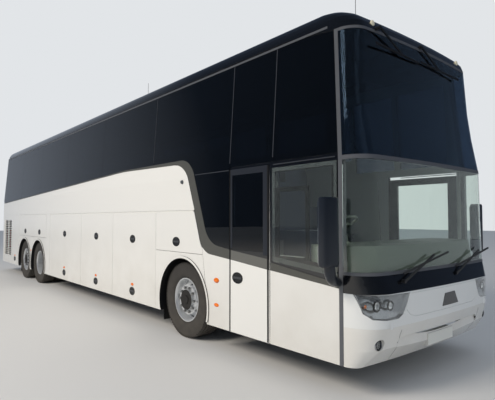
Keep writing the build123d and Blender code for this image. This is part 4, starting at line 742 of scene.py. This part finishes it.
# Outline of the right lamp as (y, z): inwards along the top, then back along the bottom.
HEADLAMP_TOP = ((-1.262, 0.955), (-1.12, 0.952), (-0.98, 0.950), (-0.84, 0.947), (-0.705, 0.945))
HEADLAMP_INNER = ((-0.745, 0.850), (-0.780, 0.800), (-0.815, 0.750), (-0.880, 0.722))
HEADLAMP_BOTTOM = ((-0.965, 0.722), (-1.050, 0.722), (-1.110, 0.728), (-1.170, 0.735))
HEADLAMP_CORNER = ((-1.225, 0.785), (-1.245, 0.870))
HEADLAMP = HEADLAMP_TOP + HEADLAMP_INNER + HEADLAMP_BOTTOM + HEADLAMP_CORNER
COVER = 0.003
COVER_SHARES = (0.15, 0.4, 0.65, 0.85, 0.988)
# Each row of the bowl is a share of the outline and a depth below the skin.
RIM_DEPTH = COVER + 0.001
BOWL_DEPTH = 0.038
BOWL_ROWS = ((0.90, BOWL_DEPTH - 0.004), (0.965, RIM_DEPTH), (0.985, RIM_DEPTH), (0.985, BOWL_DEPTH))


def lamp_ring(side, share, depth):
    """Outline of a headlamp on the skin, drawn in towards its middle and pushed back."""
    middle = [sum(p[i] for p in HEADLAMP) / len(HEADLAMP) for i in (0, 1)]
    points = [[m + (v - m) * share for v, m in zip(p, middle)] for p in HEADLAMP]
    return [on_skin("headlamps", -side * y, z, depth) for y, z in points]


def bowl(side):
    """Closed dish with its rim just behind the cover."""
    return ring_wall([lamp_ring(side, share, depth) for share, depth in BOWL_ROWS])


def cover(side):
    """Thin clear cover with rings that follow the curved nose."""
    front = [lamp_ring(side, share, 0.0) for share in COVER_SHARES]
    back = [lamp_ring(side, share, COVER) for share in reversed(COVER_SHARES)]
    return ring_wall(front + back)


bowls = [bowl(side) for side in (-1, 1)]
covers = [cover(side) for side in (-1, 1)]
print("bowl walls:", len(bowls[0][1]), "faces")

# %% [markdown]
# Both projector lenses are flat glass domes, each in a turned ring. The bulb of the indicator
# is a short orange dome. They stand just above the floor of the bowl.


# %% Lenses, bezels and bulbs
def dome(place, radius, height, rings=6, steps=24):
    """Closed half ball that looks forward from a place."""
    x, y, z = place
    rows = []
    for angle in turns(rings, 0.25):
        wide = radius * cos(angle)
        rows.append([(x + height * sin(angle), y + wide * cos(t), z + wide * sin(t)) for t in turns(steps)])
    return ring_wall(rows)


def bevelled_ring(place, inner, outer, height, steps=28):
    """Closed bevelled ring that looks forward from a place."""
    x, y, z = place
    shoulder = height * 0.7
    crest = (height, (outer + inner) / 2)
    outline = ((0, outer), (shoulder, outer), crest, (shoulder, inner), (0, inner))
    return lathe([[(x + up, y + r * cos(t), z + r * sin(t)) for up, r in outline] for t in turns(steps)])


# Each place is y, z and radius, and what stands on it has shares of that radius and a height.
LENSES = ((1.119, 0.852, 0.050), (0.970, 0.848, 0.042))
BULB = (1.196, 0.846, 0.018)
FOG_LAMP = (1.088, 0.500, 0.0515)
LENS_DEPTH = BOWL_DEPTH - 0.006
BEZEL = (0.86, 1.08, 0.014)
LENS = (0.85, 0.020)
BULB_HEIGHT = 0.012
FOG_BACK = 6.903
FOG_FRONT = 6.943
FOG_RING = 0.84
FOG_BOWL = (0.82, 0.006)
FOG_GLASS = (0.83, 0.014)
GLASS_SUNK = 0.016
bezels = []
lenses = []
bulbs = []
fog_bodies = []
fog_glass = []
for side in (-1, 1):
    for y, z, radius in LENSES:
        seat = on_skin("headlamps", side * y, z, LENS_DEPTH)
        inner, outer, height = BEZEL
        bezels.append(bevelled_ring(seat, radius * inner, radius * outer, height))
        lenses.append(dome(seat, radius * LENS[0], LENS[1]))
    y, z, radius = BULB
    bulbs.append(dome(on_skin("headlamps", side * y, z, LENS_DEPTH), radius, BULB_HEIGHT))
    y, z, radius = FOG_LAMP
    fog_seat = (FOG_BACK, side * y, z)
    fog_bodies.append(bevelled_ring(fog_seat, radius * FOG_RING, radius, FOG_FRONT - FOG_BACK))
    fog_bodies.append(dome(fog_seat, radius * FOG_BOWL[0], FOG_BOWL[1]))
    fog_glass.append(dome((FOG_FRONT - GLASS_SUNK, side * y, z), radius * FOG_GLASS[0], FOG_GLASS[1]))
print("lenses:", len(lenses), "fog lamps:", len(fog_glass))

# %% [markdown]
# The bowls take the place of the solid lamps, and the rest is let into them. The solid is
# measured above, because a node that is replaced can't be measured any more.

# %% Put the lamps together
headlamp_unit = put("headlamp_bowls", bowls, lamp_bowl, "body")
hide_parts("headlamps")
LAMP_PARTS = (
    ("headlamp_covers", covers, lamp_cover, "lamp_lens"),
    ("headlamp_bezels", bezels, black_abs, "black_plastic"),
    ("headlamp_lenses", lenses, lamp_cover, "lamp_lens"),
    ("indicator_bulbs", bulbs, orange_lens, "orange_lens"),
    ("fog_lamp_bodies", fog_bodies, lamp_bowl, "lamp_lens"),
    ("fog_lamp_lenses", fog_glass, lamp_cover, "lamp_lens"),
)
for name, shapes, material, slot in LAMP_PARTS:
    put(name, shapes, material, "body")
print("lamp pieces:", 1 + len(LAMP_PARTS))

# %% [markdown]
# Thin things lie on the nose: the smoked cover of a sensor in the middle of the mask, and a
# round cap over each towing eye. The bumper is moulded in three parts, and the shade in the
# groove down each side of it is painted as a thin dark strip.


# %% Plates that follow the nose
PLATE_SUNK = 0.0005


def between(p, q, share):
    """Point part of the way from p to q."""
    return [a + share * (b - a) for a, b in zip(p, q)]


def plate_on(node, corners, thickness, rows=6):
    """Thin plate that follows the nose, from its four corners, clockwise from the top left."""
    top_left, top_right, bottom_right, bottom_left = corners
    grid = []
    for r in range(rows + 1):
        for c in range(rows + 1):
            upper = between(top_left, top_right, c / rows)
            lower = between(bottom_left, bottom_right, c / rows)
            grid.append(on_skin(node, *between(upper, lower, r / rows), PLATE_SUNK))
    wide = rows + 1
    count = wide**2
    vertices = grid + [(x + thickness + PLATE_SUNK, y, z) for x, y, z in grid]
    faces = []
    for r in range(rows):
        for c in range(rows):
            a = r * wide + c
            quad = (a, a + 1, a + wide + 1, a + wide)
            faces += [quad, tuple(count + i for i in reversed(quad))]
    rim = list(range(wide)) + [r * wide + rows for r in range(1, wide)]
    rim += [rows * wide + c for c in range(rows - 1, -1, -1)] + [r * wide for r in range(rows - 1, 0, -1)]
    faces += [(a, count + a, count + b, b) for a, b in zip(rim, rim[1:] + rim[:1])]
    return vertices, faces


print("plates are let", PLATE_SUNK, "m into the skin")

# %% [markdown]
# The sensor's cover and the painted shade of the two seams are such plates. The caps are domes,
# flattened until they are almost discs.

# %% Things on the nose
# Corners and seam points are (y, z), and a towing eye is y, z and radius.
SENSOR_COVER = ((-0.055, 0.872), (0.157, 0.876), (0.240, 0.746), (-0.108, 0.745))
COVER_PROUD = 0.003
TOWING_EYE = (0.983, 0.668, 0.036)
CAP_HEIGHT = 0.003
SEAM = ((-0.817, 0.61), (-0.827, 0.56), (-0.818, 0.44), (-0.812, 0.31))
SEAM_HALF = 0.002
SEAM_PROUD = 0.0008
smoked = plate_on("front_mask", SENSOR_COVER, COVER_PROUD)
put("sensor_cover", [smoked], black_enamel, "body")
y, z, radius = TOWING_EYE
caps = [dome(on_skin("front_mask", side * y, z, -PLATE_SUNK), radius, CAP_HEIGHT) for side in (-1, 1)]
put("towing_eye_caps", caps, mask_enamel, "body")
# Each seam is a groove between mouldings, and a thin dark strip on the bumper paints its shade.
seam_shades = []
for side in (-1, 1):
    for (y0, z0), (y1, z1) in zip(SEAM, SEAM[1:]):
        top = [(-side * (y0 - SEAM_HALF), z0), (-side * (y0 + SEAM_HALF), z0)]
        foot = [(-side * (y1 + SEAM_HALF), z1), (-side * (y1 - SEAM_HALF), z1)]
        seam_shades.append(plate_on("front_bumper", top + foot, SEAM_PROUD, rows=4))
put("bumper_seam_shade", seam_shades, rubber_and_seam_shade, "body")
print("caps:", len(caps), "seam lengths:", len(seam_shades))

# %% [markdown]
# Number plates are pressed aluminium with a pale sheet on the face. They stay blank. One
# rests on the seat in the bumper and one on the seat in the rear wall.

# %% Number plates
# Reflective sheet: pale and matt.
plate_white = finish("plate_white", "#E4E4DC", 0.4)
PLATE_HALF = (0.26, 0.056)
PLATE_THICK = 0.003
FRONT_SEAT = (6.966, 0.415)
REAR_SEAT = (-7.044, 0.46)


def number_plate(x0, x1, z):
    """Upright plate across the bus, between two places along it."""
    half, tall = PLATE_HALF
    return block((x0, -half, z - tall), (x1, half, z + tall))


front_plate = number_plate(FRONT_SEAT[0], FRONT_SEAT[0] + PLATE_THICK, FRONT_SEAT[1])
rear_plate = number_plate(REAR_SEAT[0] - PLATE_THICK, REAR_SEAT[0], REAR_SEAT[1])
put("number_plates", [front_plate, rear_plate], plate_white, "body", smooth=0)
print("plates:", 2 * PLATE_HALF[0], "m wide")

# %% [markdown]
# The side doors close on bulb seals, and the black rubber shows as an upright strip on each
# edge. Both strips stay with the door. The front one is set back from the edge and lies
# flatter, so that it clears the wall when the emergency door opens.

# %% Door seals
# Each door: its side, its body, and where its rear and front edges are.
DOOR_SEALS = {
    "emergency_door": (-1, "emergency_door", DOOR_REAR_X, 5.701),
    "passenger_door": (1, "body", 5.600, 6.600),
}
SEAL_IN = SKIN - 0.0005
REAR_SEAL = (0.001, 0.020, SKIN + 0.0025)
FRONT_SEAL = (-0.036, -0.010, SKIN + 0.0010)
SEAL_GAP = 0.004
for name, (side, body, rear_edge, front_edge) in DOOR_SEALS.items():
    low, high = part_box(name)
    bottom, top = low.z + SEAL_GAP, high.z - SEAL_GAP
    strips = []
    for edge, (from_x, to_x, y_out) in ((rear_edge, REAR_SEAL), (front_edge, FRONT_SEAL)):
        strips.append(on_side(side, SEAL_IN, y_out, edge + from_x, edge + to_x, bottom, top))
    put(name + "_seals", strips, rubber_and_seam_shade, body, smooth=0)
    print(name, "seal height", round(top - bottom, 3))

# %% [markdown]
# The emergency door is glazed above the belt line. A satin frame holds that pane on three
# sides. It is a little bluer than the black paint, so the pane's edge can be seen.

# %% Emergency door frame
# Powder-coated aluminium: a faint blue-grey in place of a gloss.
frame_satin = finish("satin_black_frame", "#2C3038", 0.4, 0.3)
FRAME_DEPTH = (SKIN - 0.0004, SKIN + 0.0022)
FRAME_REAR = (5.018, 5.050)
FRAME_FRONT = (5.600, 5.668)
FRAME_FEET = (1.290, 1.235)
frame_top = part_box("emergency_door")[1].z
lintel = frame_top - 0.075
glazing = [
    on_side(-1, *FRAME_DEPTH, FRAME_REAR[0], FRAME_FRONT[1], lintel, frame_top - SEAL_GAP),
    on_side(-1, *FRAME_DEPTH, *FRAME_FRONT, FRAME_FEET[1], lintel),
    on_side(-1, *FRAME_DEPTH, *FRAME_REAR, FRAME_FEET[0], lintel),
]
put("emergency_door_frame", glazing, frame_satin, "emergency_door", smooth=0)
print("frame top at", round(frame_top, 3))

# %% [markdown]
# Grey sealant fills the gaps between the large panes, and a satin gutter runs along the
# eaves. The panes lean in towards the roof, so each strip asks the glass how far out it is.

# %% Pane joints and gutters
# Sealant: dull dark grey.
sealant = finish("grey_sealant", "#34373D", 0.6)
JOINT_HALF = 0.006
JOINT_PROUD = 0.002
JOINT_TOP = 3.525
JOINT_ROWS = 8
UPRIGHT_JOINTS = ((3.05, 2.50), (4.99, 2.31), (5.75, 2.31))
LEVEL_JOINTS = ((4.235, 4.975), (5.765, 6.610))
LEVEL_Z = (2.222, 2.232)
LEVEL_DEPTH = (SKIN - 0.005, SKIN + 0.0005)
GUTTER = (-6.60, 6.46, (3.528, 3.552), 0.003)


def glass_y(z):
    """Distance of the side glass from the middle plane, asked where a pane is at that height."""
    x = 5.3 if z < 3.0 else 0.3
    hit, place, _, _ = nodes["saloon_glass"].ray_cast(Vector((x, -3.0, z)), Vector((0, 1, 0)))
    if not hit:
        raise ValueError("no side glass at " + str((x, z)))
    return -place.y


def glass_strip(side, x0, x1, heights, proud):
    """Thin strip that lies on the side glass, from rows at the given heights."""
    rings = []
    for z in heights:
        y = glass_y(z)
        corners = ((x0, y), (x1, y), (x1, y + proud), (x0, y + proud))
        rings.append([(x, side * out, z) for x, out in corners])
    return ring_wall(rings)


pane_joints = []
for x, low in UPRIGHT_JOINTS:
    rows = [low + (JOINT_TOP - low) * k / JOINT_ROWS for k in range(JOINT_ROWS + 1)]
    span = (x - JOINT_HALF, x + JOINT_HALF)
    pane_joints += [glass_strip(side, *span, rows, JOINT_PROUD) for side in (-1, 1)]
for span in LEVEL_JOINTS:
    pane_joints += [on_side(side, *LEVEL_DEPTH, *span, *LEVEL_Z) for side in (-1, 1)]
put("pane_joints", pane_joints, sealant, "body", smooth=0)
gutters = [glass_strip(side, *GUTTER) for side in (-1, 1)]
put("roof_gutters", gutters, post_trim, "body", smooth=0)
print("pane joints:", len(pane_joints), "glass at the eaves:", round(glass_y(3.54), 4))

# %% [markdown]
# The driver's window is one clear pane with a small sliding light in a black frame. The
# frame is glued inside the pane, and a border of black ceramic is fired on round the edge.

# %% Driver's window frame
# Fired ceramic: black and quite matt, since the glass in front of it has the gloss.
frit = finish("black_ceramic_frit", "#050506", 1.0, Specular_IOR_Level=0.0)
# The sliding light is x from and to, then z from and to. The border is the pane's edge.
SLIDING_LIGHT = (5.790, 6.275, 1.212, 1.975)
BAR = 0.05
PANE_X = (5.752, 6.624)
PANE_TOP = 2.184
BORDER_X = 6.565
BORDER_Z = 2.140
BORDER_FEET = (1.215, 1.150)
SILL = ((5.752, 1.190), (6.624, 1.106), (6.624, 1.190), (5.752, 1.262))
WINDOW_DEPTH = (1.2560, 1.2660)
RAIL_PROUD = 0.0005
x0, x1, z0, z1 = SLIDING_LIGHT
z0_in, z1_in = z0 + BAR * 0.6, z1 - BAR
BARS = (
    (x0, x1, z1_in, z1),
    (x0, x1, z0, z0_in),
    (x0, x0 + BAR * 1.2, z0_in, z1_in),
    (x1 - BAR, x1, z0_in, z1_in),
    (PANE_X[0], x0, BORDER_FEET[0], PANE_TOP),
    (BORDER_X, PANE_X[1], BORDER_FEET[1], PANE_TOP),
    (x0, BORDER_X, BORDER_Z, PANE_TOP),
)
frames = [on_side(-1, *WINDOW_DEPTH, *bar) for bar in BARS]
frames.append(ring_wall([[(x, -y, z) for x, z in SILL] for y in WINDOW_DEPTH]))
put("driver_window_frame", frames, frit, "body", smooth=0)
y_in, y_out = WINDOW_DEPTH
rail = on_side(-1, y_in, y_out + RAIL_PROUD, x0 + 0.07, x1 - 0.06, z0 + 0.032, z0 + 0.042)
put("driver_window_rail", [rail], steel, "body", smooth=0)
print("window frame bars:", len(frames))

# %% [markdown]
# The solid mirrors are plain boxes. A real head is moulded with soft edges, and its arm sweeps
# in to the corner post. Rings of the same size as the box, stacked and then swept, give both.

# %% Moulded mirrors
# The head is back, front, y, half width, bottom and top.
HEAD = (6.670, 6.770, 1.505, 0.1075, 1.21, 1.83)
HEAD_ROUND = 0.035
HEAD_END = 0.82
CURVE_STEPS = 5
# The arm's path is x, y, z and radius, from the head to the post.
ARM = (
    (6.722, 1.503, 1.225, 0.052),
    (6.722, 1.497, 1.165, 0.052),
    (6.712, 1.468, 1.115, 0.050),
    (6.694, 1.420, 1.080, 0.047),
    (6.668, 1.350, 1.058, 0.044),
    (6.640, 1.279, 1.050, 0.042),
)


def soft_ring(x, y, z, deep, wide, steps=32):
    """Level ring between an ellipse and a rectangle."""
    points = []
    for t in turns(steps):
        c, s = (abs(v) ** 0.5 * (1 if v > 0 else -1) for v in (cos(t), sin(t)))
        points.append((x + deep * c, y + wide * s, z))
    return points


def mirror_head(side):
    """Head from level rings, drawn in at its top and bottom."""
    back, front, y, wide, low, high = HEAD
    middle, deep = (back + front) / 2, (front - back) / 2
    curve = [pi / 2 * k / CURVE_STEPS for k in range(CURVE_STEPS + 1)]
    rows = [(low + HEAD_ROUND * (1 - cos(t)), HEAD_END + (1 - HEAD_END) * sin(t)) for t in curve]
    rows += [(high - (z - low), share) for z, share in reversed(rows)]
    return ring_wall([soft_ring(middle, side * y, z, deep * share, wide * share) for z, share in rows])


def mirror_arm(side, steps=20):
    """Arm from rings that turn from level to upright along its path."""
    rings = []
    for k, (x, y, z, radius) in enumerate(ARM):
        lean = pi / 2 * k / (len(ARM) - 1)
        ring = []
        for t in turns(steps):
            along, across = radius * sin(t), radius * cos(t)
            ring.append((x + along, side * (y + across * cos(lean)), z - across * sin(lean)))
        rings.append(ring)
    return ring_wall(rings)


# Moulded shell: smooth dark blue-black.
mirror_shell = finish("mirror_shell_abs", "#1A2029", 0.3)
mirror_parts = [shape(side) for side in (-1, 1) for shape in (mirror_head, mirror_arm)]
moulded_mirrors = put("moulded_mirrors", mirror_parts, mirror_shell, "body", smooth=50)
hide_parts("mirrors")
print("mirror shells:", len(mirror_parts))

# %% [markdown]
# Each mirror head holds two glasses on the side that faces back: a tall flat one above a
# small one, which is curved on the real coach and flat here.

# %% Mirror glasses
# Silvered glass: a clean mirror.
mirror_silver = finish("mirror_silver", "#E8ECEE", 0.02, 1.0)
GLASS_Y = (1.420, 1.592)
GLASS_X = (6.6675, 6.6705)
GLASS_Z = ((1.42, 1.79), (1.24, 1.39))
glasses = [on_side(side, *GLASS_Y, *GLASS_X, *heights) for side in (-1, 1) for heights in GLASS_Z]
put("mirror_glasses", glasses, mirror_silver, "body", smooth=0)
print("mirror glasses:", len(glasses))

# %% [markdown]
# Two cream marker lamps sit on the roof's front edge, and a small grey camera head looks
# down from the white panel above each front wheel. The lamps are flattened balls, and the
# camera heads are round ones.


# %% Small lamps on the roof and side
def ball(x, y, z, radius, squeeze, rings=10, steps=20):
    """Closed ball, flattened along the bus."""
    rows = []
    for polar in [pi * k / rings for k in range(1, rings)]:
        along, wide = squeeze * radius * cos(polar), radius * sin(polar)
        rows.append([(x + along, y + wide * cos(t), z + wide * sin(t)) for t in turns(steps)])
    return ring_wall(rows)


# Cream acrylic, unlit, and grey moulded plastic.
cream_lens = finish("cream_lens", "#EFE6C8", 0.3)
grey_plastic = finish("grey_plastic", "#5A5E62", 0.5)
# A roof lamp is y, z, radius and how flat it is; a camera head is x, y, z and radius.
ROOF_LAMP = (0.8858, 3.56, 0.032, 0.45)
LAMP_PROUD = 0.004
SIDE_CAMERA = (3.92, SKIN + 0.004, 2.15, 0.028)
y, z, radius, squeeze = ROOF_LAMP
roof_lamps = []
for side in (-1, 1):
    lamp_x = on_skin("roof", side * y, z, -LAMP_PROUD)[0]
    roof_lamps.append(ball(lamp_x, side * y, z, radius, squeeze))
put("roof_marker_lamps", roof_lamps, cream_lens, "body")
x, y, z, radius = SIDE_CAMERA
cameras = [ball(x, side * y, z, radius, 1.0) for side in (-1, 1)]
put("side_cameras", cameras, grey_plastic, "body")
print("roof lamps:", len(roof_lamps), "cameras:", len(cameras))

# %% [markdown]
# The floor is one pale sheet, and the air around is nearly the same pale grey, so nothing but
# the coach takes the eye. The ground keeps the shadow.

# %% Floor
FLOOR_HALF = 60.0
floor_corners = [(x * FLOOR_HALF, y * FLOOR_HALF, 0) for x, y in ((-1, -1), (1, -1), (1, 1), (-1, 1))]
floor_mesh = bpy.data.meshes.new("studio_floor")
floor_mesh.from_pydata(floor_corners, [], [(0, 1, 2, 3)])
floor_mesh.materials.append(finish("studio_floor", "#DAD9D6", 0.9))
studio_floor = bpy.data.objects.new("studio_floor", floor_mesh)
bpy.context.scene.collection.objects.link(studio_floor)
print("floor:", 2 * FLOOR_HALF, "m wide")

# %% [markdown]
# Dark glass shows only what it mirrors. So the air has three colours: the pale one that the
# camera sees, a cooler one that lights the coach, and a dark one in reflections, which grows
# paler only towards the rear. That gives the long side glass its soft fade to the tail.

# %% The air around
SEEN_AIR = "#E2E5E8"
LIGHTING_AIR = "#A4ACB8"
MIRRORED_AIR = "#3A4454"
MIRRORED_REAR = "#A2AAB6"
FADE_FROM = -0.80
FADE_TO = -0.98

world = bpy.data.worlds.new("studio")
bpy.context.scene.world = world
world.use_nodes = True
air = world.node_tree
ray = add_node(air, "ShaderNodeLightPath").outputs
direction = add_node(air, "ShaderNodeTexCoord").outputs["Generated"]
split = add_node(air, "ShaderNodeSeparateXYZ", inputs={"Vector": direction})
fade = {"Value": split.outputs["X"], "From Min": FADE_FROM, "From Max": FADE_TO}
rearward = add_node(air, "ShaderNodeMapRange", inputs=fade).outputs["Result"]
straight_rays = {0: ray["Is Camera Ray"], 1: ray["Is Transmission Ray"]}
straight = add_node(air, "ShaderNodeMath", {"operation": "MAXIMUM"}, straight_rays).outputs[0]
colours = {"Factor": rearward, MIX_A: linear(MIRRORED_AIR), MIX_B: linear(MIRRORED_REAR)}
mirrored = add_node(air, "ShaderNodeMix", COLOUR_MIX, colours).outputs[MIX_RESULT]
colours = {"Factor": ray["Is Glossy Ray"], MIX_A: linear(LIGHTING_AIR), MIX_B: mirrored}
around = add_node(air, "ShaderNodeMix", COLOUR_MIX, colours).outputs[MIX_RESULT]
colours = {"Factor": straight, MIX_A: around, MIX_B: linear(SEEN_AIR)}
seen = add_node(air, "ShaderNodeMix", COLOUR_MIX, colours).outputs[MIX_RESULT]
background = air.nodes["Background"]
air.links.new(seen, background.inputs["Color"])
background.inputs["Strength"].default_value = 1.0
print("air nodes:", len(air.nodes))

# %% [markdown]
# One large warm lamp stands high on the right and throws the soft shadow, and a weak one
# fills the nose. The curved screen would mirror them as bright patches, so both are hidden
# from reflections.


# %% Lamps
def lamp(name, place, aim, energy, size, hex_colour):
    """Large soft lamp that leaves no bright patch in the glass."""
    data = bpy.data.lights.new(name, "AREA")
    data.energy = energy
    data.size = size
    data.color = linear(hex_colour)[:3]
    light = bpy.data.objects.new(name, data)
    bpy.context.scene.collection.objects.link(light)
    light.location = place
    light.visible_glossy = False
    light.rotation_euler = (Vector(aim) - Vector(place)).to_track_quat("-Z", "Y").to_euler()


lamp("key", (2.0, -17.0, 13.0), (0.0, 0.0, 1.5), 2900, 8.0, "#FFF6EA")
lamp("front_fill", (20.0, -4.0, 8.0), (6.0, 0.0, 1.5), 160, 7.0, "#FFFFFF")

# %% [markdown]
# The camera was found by fitting a pinhole to the photograph: where it stood, where it
# looked, and its focal length on a 36 mm wide sensor.

# %% Camera
CAMERA_PLACE = (9.30, -4.626, 1.638)
YAW = radians(139.81)
PITCH = radians(2.39)
camera_data = bpy.data.cameras.new("camera")
camera_data.lens = 32.64
camera_data.sensor_width = 36.0
camera_data.clip_end = 300.0
camera = bpy.data.objects.new("camera", camera_data)
bpy.context.scene.collection.objects.link(camera)
look = Vector((cos(PITCH) * cos(YAW), cos(PITCH) * sin(YAW), sin(PITCH)))
camera.location = CAMERA_PLACE
camera.rotation_euler = look.to_track_quat("-Z", "Y").to_euler()
bpy.context.scene.camera = camera
bpy.context.scene.view_settings.view_transform = "Standard"
print("camera at", [round(v, 3) for v in camera.location])
